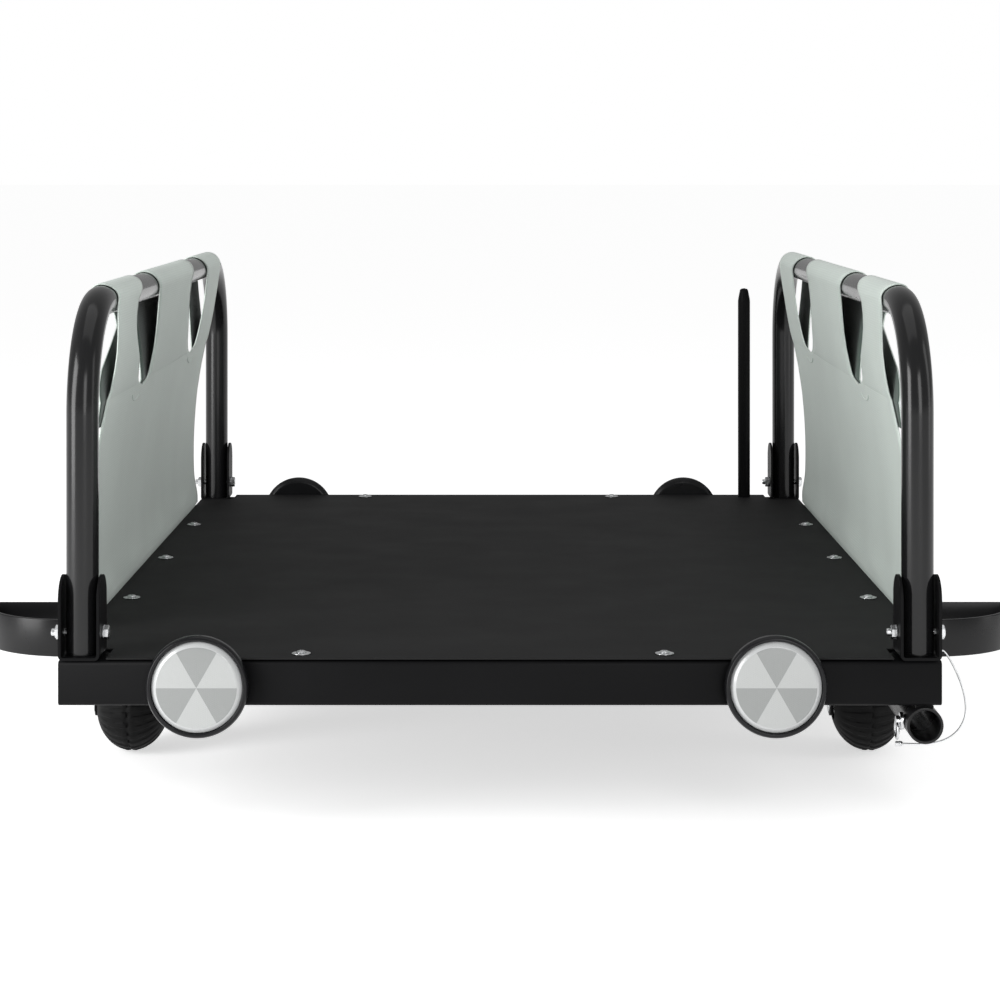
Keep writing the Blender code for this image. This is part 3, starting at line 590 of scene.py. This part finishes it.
# A pan head with a hexagon socket on a flat washer, over a plain shank.
def addScrews():
    for node in sorted(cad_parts):
        if not node.startswith("deck_screw"):
            continue
        low, high = cornersOf(node)
        place = ((low[0] + high[0]) / 2, (low[1] + high[1]) / 2, 0.0)
        seat, top = high[2] - screw["rise"], high[2] - screw["rise"] + screw["washerTop"]
        washer = softProfile(((seat, 0.0), (seat, screw["washer"]), (seat + 0.0005, screw["washer"]),
                              (top, 0.0055), (top, 0.0)), 0.0003)
        settle(turned(f"{node}_washer", washer, place, "Z", zinc, count=40), "frame", "zinc")
        turn = np.linspace(0.15, 1.25, 7)
        under = top + 0.0001
        stem = [(low[2], 0.0), (low[2], screw["shank"]), (under, 0.0019), (under, 0.0040)]
        rise = screw["dome"] * np.sin(turn) / math.sin(1.25)
        crown = np.stack([under + rise, screw["head"] * np.cos(turn)], axis=1)
        floor = high[2] - screw["socketDepth"]
        socket = [(high[2] - 0.0001, screw["socket"]), (floor, 0.0012), (floor, 0.0)]
        profile = np.concatenate([stem, crown, socket])
        hexRows = range(len(profile) - 3, len(profile) - 1)
        head = turned(f"{node}_head", profile, place, "Z", zinc, count=36, hexRows=hexRows)
        settle(head, "frame", "zinc", node)
    print("screws done")


addFrame()
addScrews()


# Hoops, brackets and bolts.

hoop = {"bend": 0.085, "wall": 0.0015, "across": 44}


# The bent tube's middle line: a leg, a quarter circle, the bar, a quarter circle and a leg, in the Y-Z plane.
def hoopPath(legY, foot, top):
    turn = np.linspace(0.0, math.pi / 2, 26)
    inner = legY - hoop["bend"]
    rise = top - hoop["bend"]
    front = np.stack([-(inner + hoop["bend"] * np.cos(turn)), rise + hoop["bend"] * np.sin(turn)], axis=1)
    legs = np.linspace(foot, rise, 6)[:-1]
    front = np.concatenate([np.stack([np.full(5, -legY), legs], axis=1), front])
    bar = np.linspace(-inner, inner, 20)[1:-1]
    back = front[::-1] * np.array([-1.0, 1.0])
    return np.concatenate([front, np.stack([bar, np.full(18, top)], axis=1), back])


def addHoops():
    for _, sideName in sides:
        node = f"hoop_{sideName}"
        low, high = cornersOf(node)
        radius = (high[0] - low[0]) / 2
        x = (high[0] + low[0]) / 2
        line = hoopPath(high[1] - radius, low[2], high[2] - radius)
        path = np.stack([np.full(len(line), x), line[:, 0], line[:, 1]], axis=1)
        ahead = np.gradient(path, axis=0)
        ahead /= np.linalg.norm(ahead, axis=1)[:, None]
        sideways = np.tile(np.array([1.0, 0.0, 0.0]), (len(path), 1))
        upright = np.cross(sideways, ahead)
        path = np.concatenate([path, path[::-1]])
        sideways = np.concatenate([sideways, sideways])
        upright = np.concatenate([upright, upright[::-1]])
        outline = ringOutline(1.0, hoop["across"])
        scale = np.concatenate([np.full(len(line), radius), np.full(len(line), radius - hoop["wall"])])
        points = (path[:, None, :] + scale[:, None, None] * (outline[None, :, 0:1] * sideways[:, None, :]
                                                            + outline[None, :, 1:2] * upright[:, None, :]))
        faces = gridFaces(len(path), hoop["across"], wrapRows=True, wrapColumns=True)
        tube = putMesh(f"hoop_tube_{sideName}", points, faces, hoopBlack, sharp=50.0)
        settle(tube, "frame", "black_steel", node)
    print("hoops done")


bracket = {"plate": 0.0022, "bend": 0.0030}


# A U of plate: down one cheek, across the base and up the other. The cheek's depth follows a half circle at
# its top.
def addBrackets():
    for _, endName in ends:
        for _, sideName in sides:
            node = f"bracket_{endName}_{sideName}"
            low, high = cornersOf(node)
            middle = (low + high) / 2
            inset = bracket["plate"] / 2
            halfX = (high[0] - low[0]) / 2 - inset
            depth = (high[1] - low[1]) / 2
            floor = low[2] + inset
            bend = bracket["bend"]
            turn = np.linspace(0.0, math.pi / 2, 7)
            arch = high[2] - depth + depth * np.sin(np.linspace(math.pi / 2, 0.0, 24))
            rise = np.linspace(high[2] - depth, floor + bend, 12)[1:]
            downX = np.concatenate([np.full(24 + 11, -halfX), -halfX + bend - bend * np.cos(turn[1:])])
            downZ = np.concatenate([arch, rise, floor + bend - bend * np.sin(turn[1:])])
            lineX = np.concatenate([downX, np.linspace(-halfX + bend, halfX - bend, 8)[1:-1], -downX[::-1]])
            lineZ = np.concatenate([downZ, np.full(6, floor), downZ[::-1]])
            over = np.clip((lineZ - (high[2] - depth)) / depth, 0.0, 1.0)
            reach = depth * np.sqrt(1.0 - over ** 2)
            across = np.linspace(-1.0, 1.0, 9)
            points = np.stack([np.repeat((middle[0] + lineX)[:, None], 9, axis=1),
                               middle[1] + reach[:, None] * across[None, :],
                               np.repeat(lineZ[:, None], 9, axis=1)], axis=-1)
            plate = putMesh(f"{node}_plate", points, gridFaces(len(lineX), 9), frameBlack, sharp=50.0)
            thick = plate.modifiers.new("wall", "SOLIDIFY")
            thick.thickness = bracket["plate"]
            thick.offset = 0.0
            bevel(plate, 0.0004)
            settle(plate, "frame", "black_steel", node)
    print("brackets done")


bolt = {"flat": 0.0049, "washer": 0.0058, "washerTop": 0.0011, "height": 0.0052, "gap": 0.0003,
        "pitch": 0.0010, "thread": 0.0030, "cut": 0.00018, "end": 0.0025}


# On the -X cheek, a washer, a hexagon nut and the thread's end; on the +X cheek, a washer and a hexagon head.
def addBolts():
    flat, washer = bolt["flat"], bolt["washer"]
    for _, endName in ends:
        for _, sideName in sides:
            node = f"bolt_{endName}_{sideName}"
            low, high = cornersOf(node)
            place = (0.0, (low[1] + high[1]) / 2, (low[2] + high[2]) / 2)
            plateLow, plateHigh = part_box(f"bracket_{endName}_{sideName}")
            for name, face, way in (("nut", plateLow[0], -1), ("head", plateHigh[0], 1)):
                seat, top = face + way * bolt["gap"], face + way * bolt["height"]
                ledge = face + way * bolt["washerTop"]
                profile = [(seat, 0.0), (seat, washer), (ledge, washer), (ledge + way * 0.0001, flat),
                           (top - way * 0.0006, flat), (top, 0.90 * flat), (top, 0.0)]
                piece = turned(f"{node}_{name}", profile, place, "X", zinc, hexRows=(3, 4), sharp=25.0)
                settle(piece, "frame", "zinc")
            level = np.linspace(plateHigh[0], low[0], 70)
            thread = bolt["thread"] - bolt["cut"] * (0.5 + 0.5 * np.cos(level / bolt["pitch"] * full))
            thread[-1] = bolt["end"]
            shank = np.concatenate([[[level[0], 0.0]], np.stack([level, thread], axis=1), [[level[-1], 0.0]]])
            settle(turned(f"{node}_shank", shank, place, "X", zinc, count=20), "frame", "zinc", node)
    print("bolts done")


addHoops()
addBrackets()
addBolts()


# Reflectors.

reflector = {"rim": 0.0040, "floor": 0.45, "bevel": 0.885}


# A moulded cup with a rounded rim, and a lens whose edge is bevelled down to it.
def addReflectors():
    for end, endName in ends:
        for sideName in ("left", "right"):
            node = f"reflector_{endName}_{sideName}"
            low, high = cornersOf(f"{node}_cup")
            middle = (low + high) / 2
            radius = (high[0] - low[0]) / 2
            deep = high[1] - low[1]
            face = low[1] if end > 0 else high[1]
            inner = radius - reflector["rim"]
            floor = reflector["floor"] * deep
            cup = softProfile(((0.0, 0.0), (0.0, 0.88 * radius), (0.25 * deep, radius), (0.72 * deep, radius),
                               (0.985 * deep, radius - 0.0014), (0.985 * deep, inner), (floor, inner),
                               (floor, 0.0)), 0.0012, 5)
            cup[:, 0] = face + end * cup[:, 0]
            place = (middle[0], 0.0, middle[2])
            housing = turned(f"{node}_housing", cup, place, "Y", moulded, count=96)
            settle(housing, "frame", "black_plastic", f"{node}_cup")
            edge = inner - 0.0003
            lens = softProfile(((floor + 0.0003, 0.0), (floor + 0.0003, edge), (0.74 * deep, edge),
                                (1.02 * deep, reflector["bevel"] * edge), (1.02 * deep, 0.0)), 0.0007, 4)
            crown = (lens[:, 0] > 0.9 * deep) * 0.0003 * (1.0 - (lens[:, 1] / edge) ** 2)
            lens[:, 0] = face + end * (lens[:, 0] + crown)
            paint = frontLens if end < 0 else rearLens
            window = turned(f"{node}_window", lens, place, "Y", paint, count=96, uv=True, sharp=60.0)
            settle(window, "frame", "lens", f"{node}_lens")
    print("reflectors done")


addReflectors()


# Slings.

# The rear edge is the same for both layers: (height, Y) points, as in the tables below.
rearEdge = ((0.130, 0.376), (0.150, 0.372), (0.200, 0.358), (0.240, 0.346), (0.270, 0.338), (0.300, 0.340),
            (0.318, 0.347), (0.330, 0.352), (0.365, 0.358), (0.392, 0.359), (0.405, 0.358), (0.4245, 0.354))

sling = {
    "thick": 0.0012, "columns": 16, "wave": 0.0010, "join": 0.3245, "rim": 0.0007, "bulge": 0.0145,
    "tuck": 0.002, "heights": (0.130, 0.4245),
    # Each strap lies between two cut edges. Where two neighbours meet, below a slot's foot, the panel is whole.
    "inner": (
        ((0.130, -0.346), (0.200, -0.340), (0.240, -0.335), (0.270, -0.328), (0.300, -0.319), (0.318, -0.311),
         (0.330, -0.305), (0.350, -0.306), (0.365, -0.311), (0.380, -0.322), (0.405, -0.346), (0.4245, -0.352)),
        ((0.3205, -0.115), (0.3235, -0.140), (0.3255, -0.149), (0.330, -0.160), (0.340, -0.171), (0.350, -0.177),
         (0.365, -0.203), (0.380, -0.224), (0.392, -0.235), (0.405, -0.238), (0.4245, -0.205)),
        ((0.3205, -0.115), (0.3235, -0.089), (0.3255, -0.087), (0.330, -0.086), (0.350, -0.084), (0.365, -0.087),
         (0.405, -0.108), (0.4245, -0.120)),
        ((0.3235, 0.217), (0.3255, 0.200), (0.330, 0.186), (0.340, 0.168), (0.365, 0.140), (0.380, 0.126),
         (0.392, 0.119), (0.405, 0.117), (0.4245, 0.144)),
        ((0.3235, 0.217), (0.3255, 0.242), (0.330, 0.252), (0.340, 0.256), (0.365, 0.260), (0.380, 0.258),
         (0.405, 0.247), (0.4245, 0.226)),
        rearEdge,
    ),
    "outer": (
        ((0.300, -0.328), (0.3245, -0.332), (0.330, -0.330), (0.340, -0.322), (0.350, -0.304), (0.365, -0.252),
         (0.380, -0.205), (0.392, -0.212), (0.405, -0.262), (0.4245, -0.352)),
        ((0.3085, -0.160), (0.311, -0.174), (0.318, -0.182), (0.330, -0.187), (0.365, -0.188), (0.380, -0.182),
         (0.392, -0.176), (0.405, -0.172), (0.4245, -0.205)),
        ((0.3085, -0.160), (0.311, -0.146), (0.318, -0.124), (0.3235, -0.115), (0.330, -0.108), (0.340, -0.104),
         (0.350, -0.101), (0.365, -0.101), (0.380, -0.106), (0.405, -0.118), (0.4245, -0.120)),
        ((0.3085, 0.214), (0.311, 0.197), (0.318, 0.180), (0.330, 0.161), (0.340, 0.150), (0.365, 0.116),
         (0.380, 0.100), (0.392, 0.094), (0.405, 0.098), (0.4245, 0.144)),
        ((0.3085, 0.214), (0.311, 0.231), (0.318, 0.246), (0.330, 0.258), (0.350, 0.266), (0.365, 0.270),
         (0.380, 0.268), (0.392, 0.262), (0.405, 0.252), (0.4245, 0.226)),
        rearEdge,
    ),
    # Middle, foot and half width of the outer layer's two slots, whose rims show through the inner layer.
    "rims": ((-0.150, 0.3090, 0.026), (0.226, 0.3120, 0.024)),
}


# The cloth's cross-section: hem under the deck, up the inner face, over the bar and down the outer face to the
# seam. It gives a row of (x, z) for each point, and each row's share of the outer layer.
def slingLine(barX, barZ, barRadius, deckEdge, deckLow, deckTop):
    hug = barRadius + 0.0011
    joinZ = sling["join"]
    lip = np.array([[deckEdge - 0.028, deckLow - 0.0006], [deckEdge - 0.010, deckLow - 0.0006],
                    [deckEdge + 0.0002, deckLow - 0.0005], [deckEdge + 0.0014, deckLow + 0.0010]])
    share = np.linspace(1.0, 0.0, 64)[1:] ** 1.35
    bulge = sling["bulge"] * np.sin(math.pi / 2 * np.minimum(share / 0.8, 1.0))
    bulge = bulge - sling["tuck"] * np.maximum(share - 0.8, 0.0) / 0.2
    panel = np.stack([barX + 0.0020 + bulge, joinZ - share * (joinZ - deckTop)], axis=1)
    rise = np.linspace(0.0, 1.0, 56)[1:-1] ** 1.6
    inner = np.stack([barX + 0.0020 - (hug + 0.0020) * rise ** 0.8, joinZ + rise * (barZ - joinZ)], axis=1)
    turn = np.linspace(math.pi, 0.0, 26)
    over = np.stack([barX + hug * np.cos(turn), barZ + hug * np.sin(turn)], axis=1)
    fall = np.linspace(1.0, 0.0, 52)[1:] ** 1.6
    outer = np.stack([barX + 0.0040 + (hug - 0.0040) * fall ** 0.75, joinZ + fall * (barZ - joinZ)], axis=1)
    tail = panel[::-1][1:14] + np.array([0.0021, 0.0])
    line = np.concatenate([lip, panel, inner, over, outer, tail])
    layer = np.concatenate([np.zeros(len(lip) + len(panel) + len(inner)), np.linspace(0.0, 1.0, len(over)),
                            np.ones(len(outer) + len(tail))])
    return line, layer


# A cut edge: its Y at each row, read from the smoothed lines of the two layers and mixed by the layer share.
def cutEdge(number, z, layer):
    fine = np.linspace(*sling["heights"], 500)
    kernel = np.hanning(9) / np.hanning(9).sum()
    smooth = []
    for name in ("inner", "outer"):
        height, y = np.array(sling[name][number]).T
        value = np.convolve(np.pad(np.interp(fine, height, y), 4, mode="edge"), kernel, mode="valid")
        smooth.append(np.interp(z, fine, value))
    return smooth[0] * (1 - layer) + smooth[1] * layer


# The cloth's ripple: three crossed waves over Y and height, between -1.1 and 1.1.
def rippleOf(y, z, side):
    return (0.55 * np.sin(21.0 * y + 9.0 * z + side) + 0.30 * np.sin(47.0 * y - 17.0 * z)
            + 0.25 * np.sin(12.0 * y + 31.0 * z + 2.0))


# Three strips of columns, one for each strap, each between two cut edges. Below a slot's foot the edges of
# neighbours meet, and their doubles are merged into one panel.
def addSling(side, sideName):
    node = f"sling_{sideName}"
    hoopLow, hoopHigh = cornersOf(f"hoop_{sideName}")
    barRadius = (hoopHigh[0] - hoopLow[0]) / 2
    barX = abs(hoopHigh[0] + hoopLow[0]) / 2
    barZ = hoopHigh[2] - barRadius
    deckLow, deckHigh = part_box("deck")
    line, layer = slingLine(barX, barZ, barRadius, deckHigh[0], deckLow[2], deckHigh[2])
    z = line[:, 1]
    along = np.concatenate([[0.0], np.cumsum(np.linalg.norm(np.diff(line, axis=0), axis=1))])
    edges = [cutEdge(number, z, layer) for number in range(6)]
    for first, second in ((1, 2), (3, 4)):
        shut = edges[second] - edges[first] < 0.004
        middle = (edges[first] + edges[second]) / 2
        edges[first] = np.where(shut, middle, edges[first])
        edges[second] = np.where(shut, middle, edges[second])
    share = np.linspace(0.0, 1.0, sling["columns"])[None, :]
    height = np.repeat(z[:, None], sling["columns"], axis=1)
    calm = np.clip((0.375 - z) / 0.05, 0.0, 1.0)[:, None] * np.clip((z - 0.139) / 0.02, 0.0, 1.0)[:, None]
    foot = (np.exp(-((z - 0.152) / 0.011) ** 2) * (z > 0.1385) * (1 - layer))[:, None]
    points, uv, faces, base = [], [], [], 0
    for left, right in zip(edges[0::2], edges[1::2]):
        y = left[:, None] + (right - left)[:, None] * share
        x = line[:, 0][:, None] + sling["wave"] * rippleOf(y, height, side) * calm
        x = x - 0.0020 * foot * (0.5 + 0.5 * np.sin(38.0 * y + side * 1.3))
        points.append(np.stack([side * x, y, height], axis=-1).reshape(-1, 3))
        uv.append(np.stack([y, np.repeat(along[:, None], sling["columns"], axis=1)], axis=-1).reshape(-1, 2))
        faces.append(gridFaces(len(line), sling["columns"]) + base)
        base += len(line) * sling["columns"]
    cloth = putMesh(node + "_cloth", np.concatenate(points), np.concatenate(faces), [sage, paintedShadeCloth],
                    uv=np.concatenate(uv), merge=1e-5, sharp=180.0)
    size = len(cloth.data.polygons) * 3
    normals, centers = np.empty(size), np.empty(size)
    cloth.data.polygons.foreach_get("normal", normals)
    cloth.data.polygons.foreach_get("center", centers)
    normals, centers = normals.reshape(-1, 3), centers.reshape(-1, 3)
    low = (centers[:, 2] > 0.20) & (centers[:, 2] < 0.30)
    if (normals[low, 0] * side).mean() > 0:
        cloth.data.flip_normals()
    thick = cloth.modifiers.new("cloth", "SOLIDIFY")
    thick.thickness = sling["thick"]
    thick.offset = 0.0
    # The inner shell takes the dark cloth, so the back faces carry painted shade.
    thick.material_offset = 1
    thick.material_offset_rim = 0
    settle(cloth, "frame", "sage_fabric", node)
    panel = (z > 0.14) & (z < sling["join"]) & (layer == 0.0)
    for number, (center, foot, half) in enumerate(sling["rims"]):
        turn = np.linspace(-math.pi, -0.15 * math.pi, 26)
        rimY = center + half * np.cos(turn)
        rimZ = foot + 0.007 + 0.007 * np.sin(turn)
        rimX = np.interp(rimZ, z[panel], line[panel, 0])
        rimX = rimX + sling["wave"] * rippleOf(rimY, rimZ, side) - sling["thick"] / 2
        path = np.stack([side * rimX, rimY, rimZ], axis=1)
        _, sideways, upright = framesOf(path, (1.0, 0.0, 0.0))
        outline = ringOutline(sling["rim"], 10)
        rim = swept(f"{node}_rim_{number}", path, outline, sideways, upright, sage, sharp=60.0)
        settle(rim, "frame", "sage_fabric")


for side, sideName in sides:
    addSling(side, sideName)
print("slings done")


# Side loops, receiver tube and post.

loopBar = {"thick": 0.003, "reach": 0.078}


# A flat bar bowed out from the rail: a quarter ellipse to its nose, then straight back.
def addLoops():
    for side, sideName in sides:
        node = f"side_loop_{sideName}"
        low, high = cornersOf(node)
        start = abs(low[0] if side > 0 else high[0])
        half = loopBar["thick"] / 2
        front, back = low[1] + half, high[1] - half
        turn = np.linspace(0.0, math.pi / 2, 40)
        corner = 0.006
        bowX = start + (loopBar["reach"]) * np.sin(turn)
        bowY = (back - corner) - (back - corner - front) * np.cos(turn)
        bend = np.linspace(0.0, math.pi / 2, 8)[1:]
        nose = start + loopBar["reach"]
        turnX = nose - corner + corner * np.cos(bend)
        turnY = back - corner + corner * np.sin(bend)
        runX = np.linspace(nose - corner, start, 24)[1:]
        line = np.concatenate([np.stack([bowX, bowY], axis=1), np.stack([turnX, turnY], axis=1),
                               np.stack([runX, np.full(23, back)], axis=1)])
        z = (low[2] + high[2]) / 2
        path = np.stack([side * line[:, 0], line[:, 1], np.full(len(line), z)], axis=1)
        _, sideways, upright = framesOf(path)
        section = roundedBox(loopBar["thick"], high[2] - low[2], 0.0009, 4)
        loop = swept(f"{node}_bar", path, section, sideways, upright, loopBlack, sharp=40.0)
        settle(loop, "frame", "black_steel", node)
    print("loops done")


receiver = {"wall": 0.0022, "weldX": 0.0075, "weldDrop": 0.0018, "weld": 0.0034, "shim": 0.014,
            "shimThick": 0.0026}


# A turned tube with soft rims, on a flat shim with a weld along each side.
def addReceiver():
    low, high = cornersOf("receiver_tube")
    radius = (high[0] - low[0]) / 2
    x = (high[0] + low[0]) / 2
    inner = radius - receiver["wall"]
    profile = softProfile(((low[1] + 0.02, inner), (low[1], inner), (low[1], radius), (high[1], radius),
                           (high[1], inner), (low[1] + 0.021, inner)), 0.0007, 4)
    tube = turned("receiver_sleeve", profile, (x, 0.0, low[2] + radius), "Y", loopBlack, count=64, closed=True)
    settle(tube, "frame", "black_steel", "receiver_tube")
    for side, sideName in sides:
        edge, z = x + side * receiver["weldX"], high[2] - receiver["weldDrop"]
        addBead(f"receiver_weld_{sideName}", (edge, low[1] + 0.006, z), (edge, high[1] - 0.006, z),
                (0.0, 0.0, 1.0), (1.0, 0.0, 0.0), receiver["weld"])
    z = high[2] - receiver["shimThick"] / 2
    path = ((x, low[1] + 0.004, z), (x, high[1] - 0.004, z))
    outline = roundedBox(receiver["shim"], receiver["shimThick"], 0.0006, 4)
    pad = swept("receiver_shim", path, outline, np.tile([1.0, 0.0, 0.0], (2, 1)),
                np.tile([0.0, 0.0, 1.0], (2, 1)), frameBlack)
    settle(pad, "frame", "black_steel")
    print("receiver done")


post = {"radius": 0.0070, "tip": 0.0045, "taper": 0.014}


def addPost():
    low, high = cornersOf("rear_post")
    place = ((low[0] + high[0]) / 2, (low[1] + high[1]) / 2, 0.0)
    profile = softProfile(((low[2], 0.0), (low[2], post["radius"]), (high[2] - post["taper"], post["radius"]),
                           (high[2] - 0.001, post["tip"]), (high[2], 0.0)), 0.0025, 6)
    settle(turned("post_rod", profile, place, "Z", frameBlack, count=48), "frame", "black_steel", "rear_post")
    print("post done")


addLoops()
addReceiver()
addPost()


# Casters.

caster = {"blocks": 26, "tread": 0.0009, "treadFrom": 0.022, "hub": 0.0125, "hubRim": 0.0110, "hubBore": 0.0043,
          "flat": 0.0055}


# Tyre radius with tread: blocks step in and out round the wheel, shifted by half a block on the other side.
def treadShape(radius, across, angle):
    side = np.sign(across + 1e-9)
    block = np.cos(caster["blocks"] * angle + (side > 0) * math.pi + across * 60.0)
    cut = np.clip(block * 3.0, -1.0, 0.0) * caster["tread"]
    crown = np.clip((radius - caster["treadFrom"]) / 0.008, 0.0, 1.0)
    groove = -caster["tread"] * np.exp(-(across / 0.0011) ** 2)
    return radius + crown * (cut + groove)


def addCasters():
    for _, endName in ends:
        for _, sideName in sides:
            tail = f"{endName}_{sideName}"
            addWheel(tail)
            addFork(tail)
            addRace(tail)
    print("casters done")


def addWheel(tail):
    low, high = cornersOf(f"caster_wheel_{tail}")
    middle = (low + high) / 2
    halfWidth, radius = (high[0] - low[0]) / 2, (high[2] - low[2]) / 2
    first = math.asin(caster["hub"] / radius)
    turn = np.linspace(first, math.pi / 2, 30)
    half = np.stack([halfWidth * np.cos(turn) / math.cos(first), radius * np.sin(turn)], axis=1)
    flat = half[:, 0] < caster["flat"]
    half[flat, 1] = radius
    half[-1, 0] = 0.0
    inner = np.array([[0.6 * halfWidth, caster["hub"] - 0.001]])
    mirror = np.array([-1.0, 1.0])
    profile = np.concatenate([inner, half, half[::-1][1:] * mirror, inner * mirror])
    tyre = turned(f"tyre_{tail}", profile, middle, "X", rubber, count=264, shape=treadShape, closed=True,
                  sharp=40.0)
    settle(tyre, f"wheel_{tail}", "rubber", f"caster_wheel_{tail}")
    rim, bore = caster["hubRim"], caster["hubBore"]
    side = np.array([[0.95 * halfWidth, bore], [0.95 * halfWidth, 0.0075], [0.90 * halfWidth, rim],
                     [0.5 * halfWidth, 0.0114]])
    hub = softProfile(np.concatenate([side * mirror, side[::-1], [[0.0, bore]]]), 0.0008, 3)
    core = turned(f"hub_{tail}", hub, middle, "X", moulded, count=48, closed=True)
    settle(core, f"wheel_{tail}", "black_plastic")


fork = {"plate": 0.0025, "over": 0.0055, "raise": 0.003, "end": 0.0088, "arm": 0.0245, "bend": 0.004,
        "lean": 0.0100, "axle": 0.0040, "cap": 0.0052, "capHeight": 0.0020}


# One bent strip: up one arm, over the bridge and down the other. Each row has its own middle and half width
# along Y, so the arms lean back to the axle and end round.
def addFork(tail):
    node = f"caster_fork_{tail}"
    low, high = cornersOf(node)
    wheel = middleOf(f"caster_wheel_{tail}")
    pivot = middleOf(f"caster_base_{tail}")
    plate, radius = fork["plate"], fork["end"]
    outer = (high[0] - low[0]) / 2 - plate / 2
    top = 2 * wheel[2] + fork["over"] + fork["raise"] - plate / 2
    turn = np.linspace(0.0, math.pi / 2, 10)
    climb = np.linspace(0.0, 1.0, 18)[1:]
    bend = np.linspace(0.0, math.pi / 2, 7)[1:]
    bridge = np.linspace(outer - fork["bend"], -outer + fork["bend"], 12)[1:-1]
    armTop = top - fork["bend"]
    lean = pivot[1] + fork["lean"] - wheel[1]
    lineX = np.concatenate([np.full(10 + 17, outer), outer - fork["bend"] + fork["bend"] * np.cos(bend)])
    lineZ = np.concatenate([wheel[2] - radius * np.cos(turn), wheel[2] + climb * (armTop - wheel[2]),
                            armTop + fork["bend"] * np.sin(bend)])
    lineHalf = np.concatenate([radius * np.sin(turn), radius + (fork["arm"] - radius) * climb ** 1.3,
                               np.full(6, fork["arm"])])
    lineShift = np.concatenate([np.zeros(10), climb * lean, np.full(6, lean)])
    x = np.concatenate([lineX, bridge, -lineX[::-1]])
    z = np.concatenate([lineZ, np.full(10, top), lineZ[::-1]])
    half = np.concatenate([lineHalf, np.full(10, fork["arm"]), lineHalf[::-1]])
    shift = np.concatenate([lineShift, np.full(10, lean), lineShift[::-1]])
    across = np.linspace(-1.0, 1.0, 9)
    points = np.stack([np.repeat((wheel[0] + x)[:, None], 9, axis=1),
                       wheel[1] + shift[:, None] + half[:, None] * across[None, :],
                       np.repeat(z[:, None], 9, axis=1)], axis=-1)
    strip = putMesh(f"fork_{tail}", points, gridFaces(len(x), 9), frameBlack, sharp=50.0)
    thick = strip.modifiers.new("plate", "SOLIDIFY")
    thick.thickness = plate
    thick.offset = 0.0
    bevel(strip, 0.0004)
    settle(strip, f"fork_{tail}", "black_steel", node)
    for sign in (-1, 1):
        seat = sign * (outer + plate / 2 - 0.0001)
        cap = softProfile(((seat, 0.0), (seat, fork["cap"]), (seat + sign * 0.8 * fork["capHeight"], 0.0050),
                           (seat + sign * fork["capHeight"], 0.0)), 0.0005, 3)
        piece = turned(f"axle_cap_{tail}_{sign + 1}", cap, wheel, "X", zinc, count=30)
        settle(piece, f"fork_{tail}", "zinc")
    rod = ((-outer, 0.0), (-outer, fork["axle"]), (outer, fork["axle"]), (outer, 0.0))
    settle(turned(f"axle_{tail}", rod, wheel, "X", zinc, count=24), f"fork_{tail}", "zinc")


race = {"bore": 0.0054, "rim": 0.0168, "lip": 0.0150, "groove": 0.0152, "plate": 0.003, "rivet": 0.0055,
        "rivetHeight": 0.0030, "rivetShift": 0.027}


# A ball race with a groove between its two rims, under a plate with two rivets.
def addRace(tail):
    low, high = cornersOf(f"caster_base_{tail}")
    middle = (low + high) / 2
    foot, plateLow = low[2], high[2] - race["plate"]
    bore, rim, groove = race["bore"], race["rim"], race["groove"]
    profile = softProfile(((foot, bore), (foot, race["lip"]), (foot + 0.0014, rim), (foot + 0.0040, rim),
                           (foot + 0.0046, groove), (foot + 0.0054, groove), (foot + 0.0060, rim),
                           (plateLow, rim), (plateLow, bore), (foot + 0.001, bore)), 0.0006, 3)
    place = (middle[0], middle[1], 0.0)
    ring = turned(f"race_{tail}", profile, place, "Z", zinc, count=48, closed=True)
    settle(ring, "frame", "zinc")
    height = (plateLow + high[2]) / 2
    path = ((middle[0], low[1], height), (middle[0], high[1], height))
    plate = swept(f"caster_plate_{tail}", path, roundedBox(high[0] - low[0], race["plate"], 0.0006, 4),
                  np.tile([1.0, 0.0, 0.0], (2, 1)), np.tile([0.0, 0.0, 1.0], (2, 1)), frameBlack)
    settle(bevel(plate, 0.0006), "frame", "black_steel", f"caster_base_{tail}")
    for number, shift in enumerate((-race["rivetShift"], race["rivetShift"])):
        head = softProfile(((plateLow + 0.0002, 0.0), (plateLow + 0.0002, race["rivet"]),
                            (plateLow - 0.0012, race["rivet"]), (plateLow - race["rivetHeight"], 0.0030),
                            (plateLow - race["rivetHeight"], 0.0)), 0.0008, 3)
        place = (middle[0], middle[1] + shift, 0.0)
        settle(turned(f"plate_rivet_{tail}_{number}", head, place, "Z", zinc, count=30), "frame", "zinc")


addCasters()
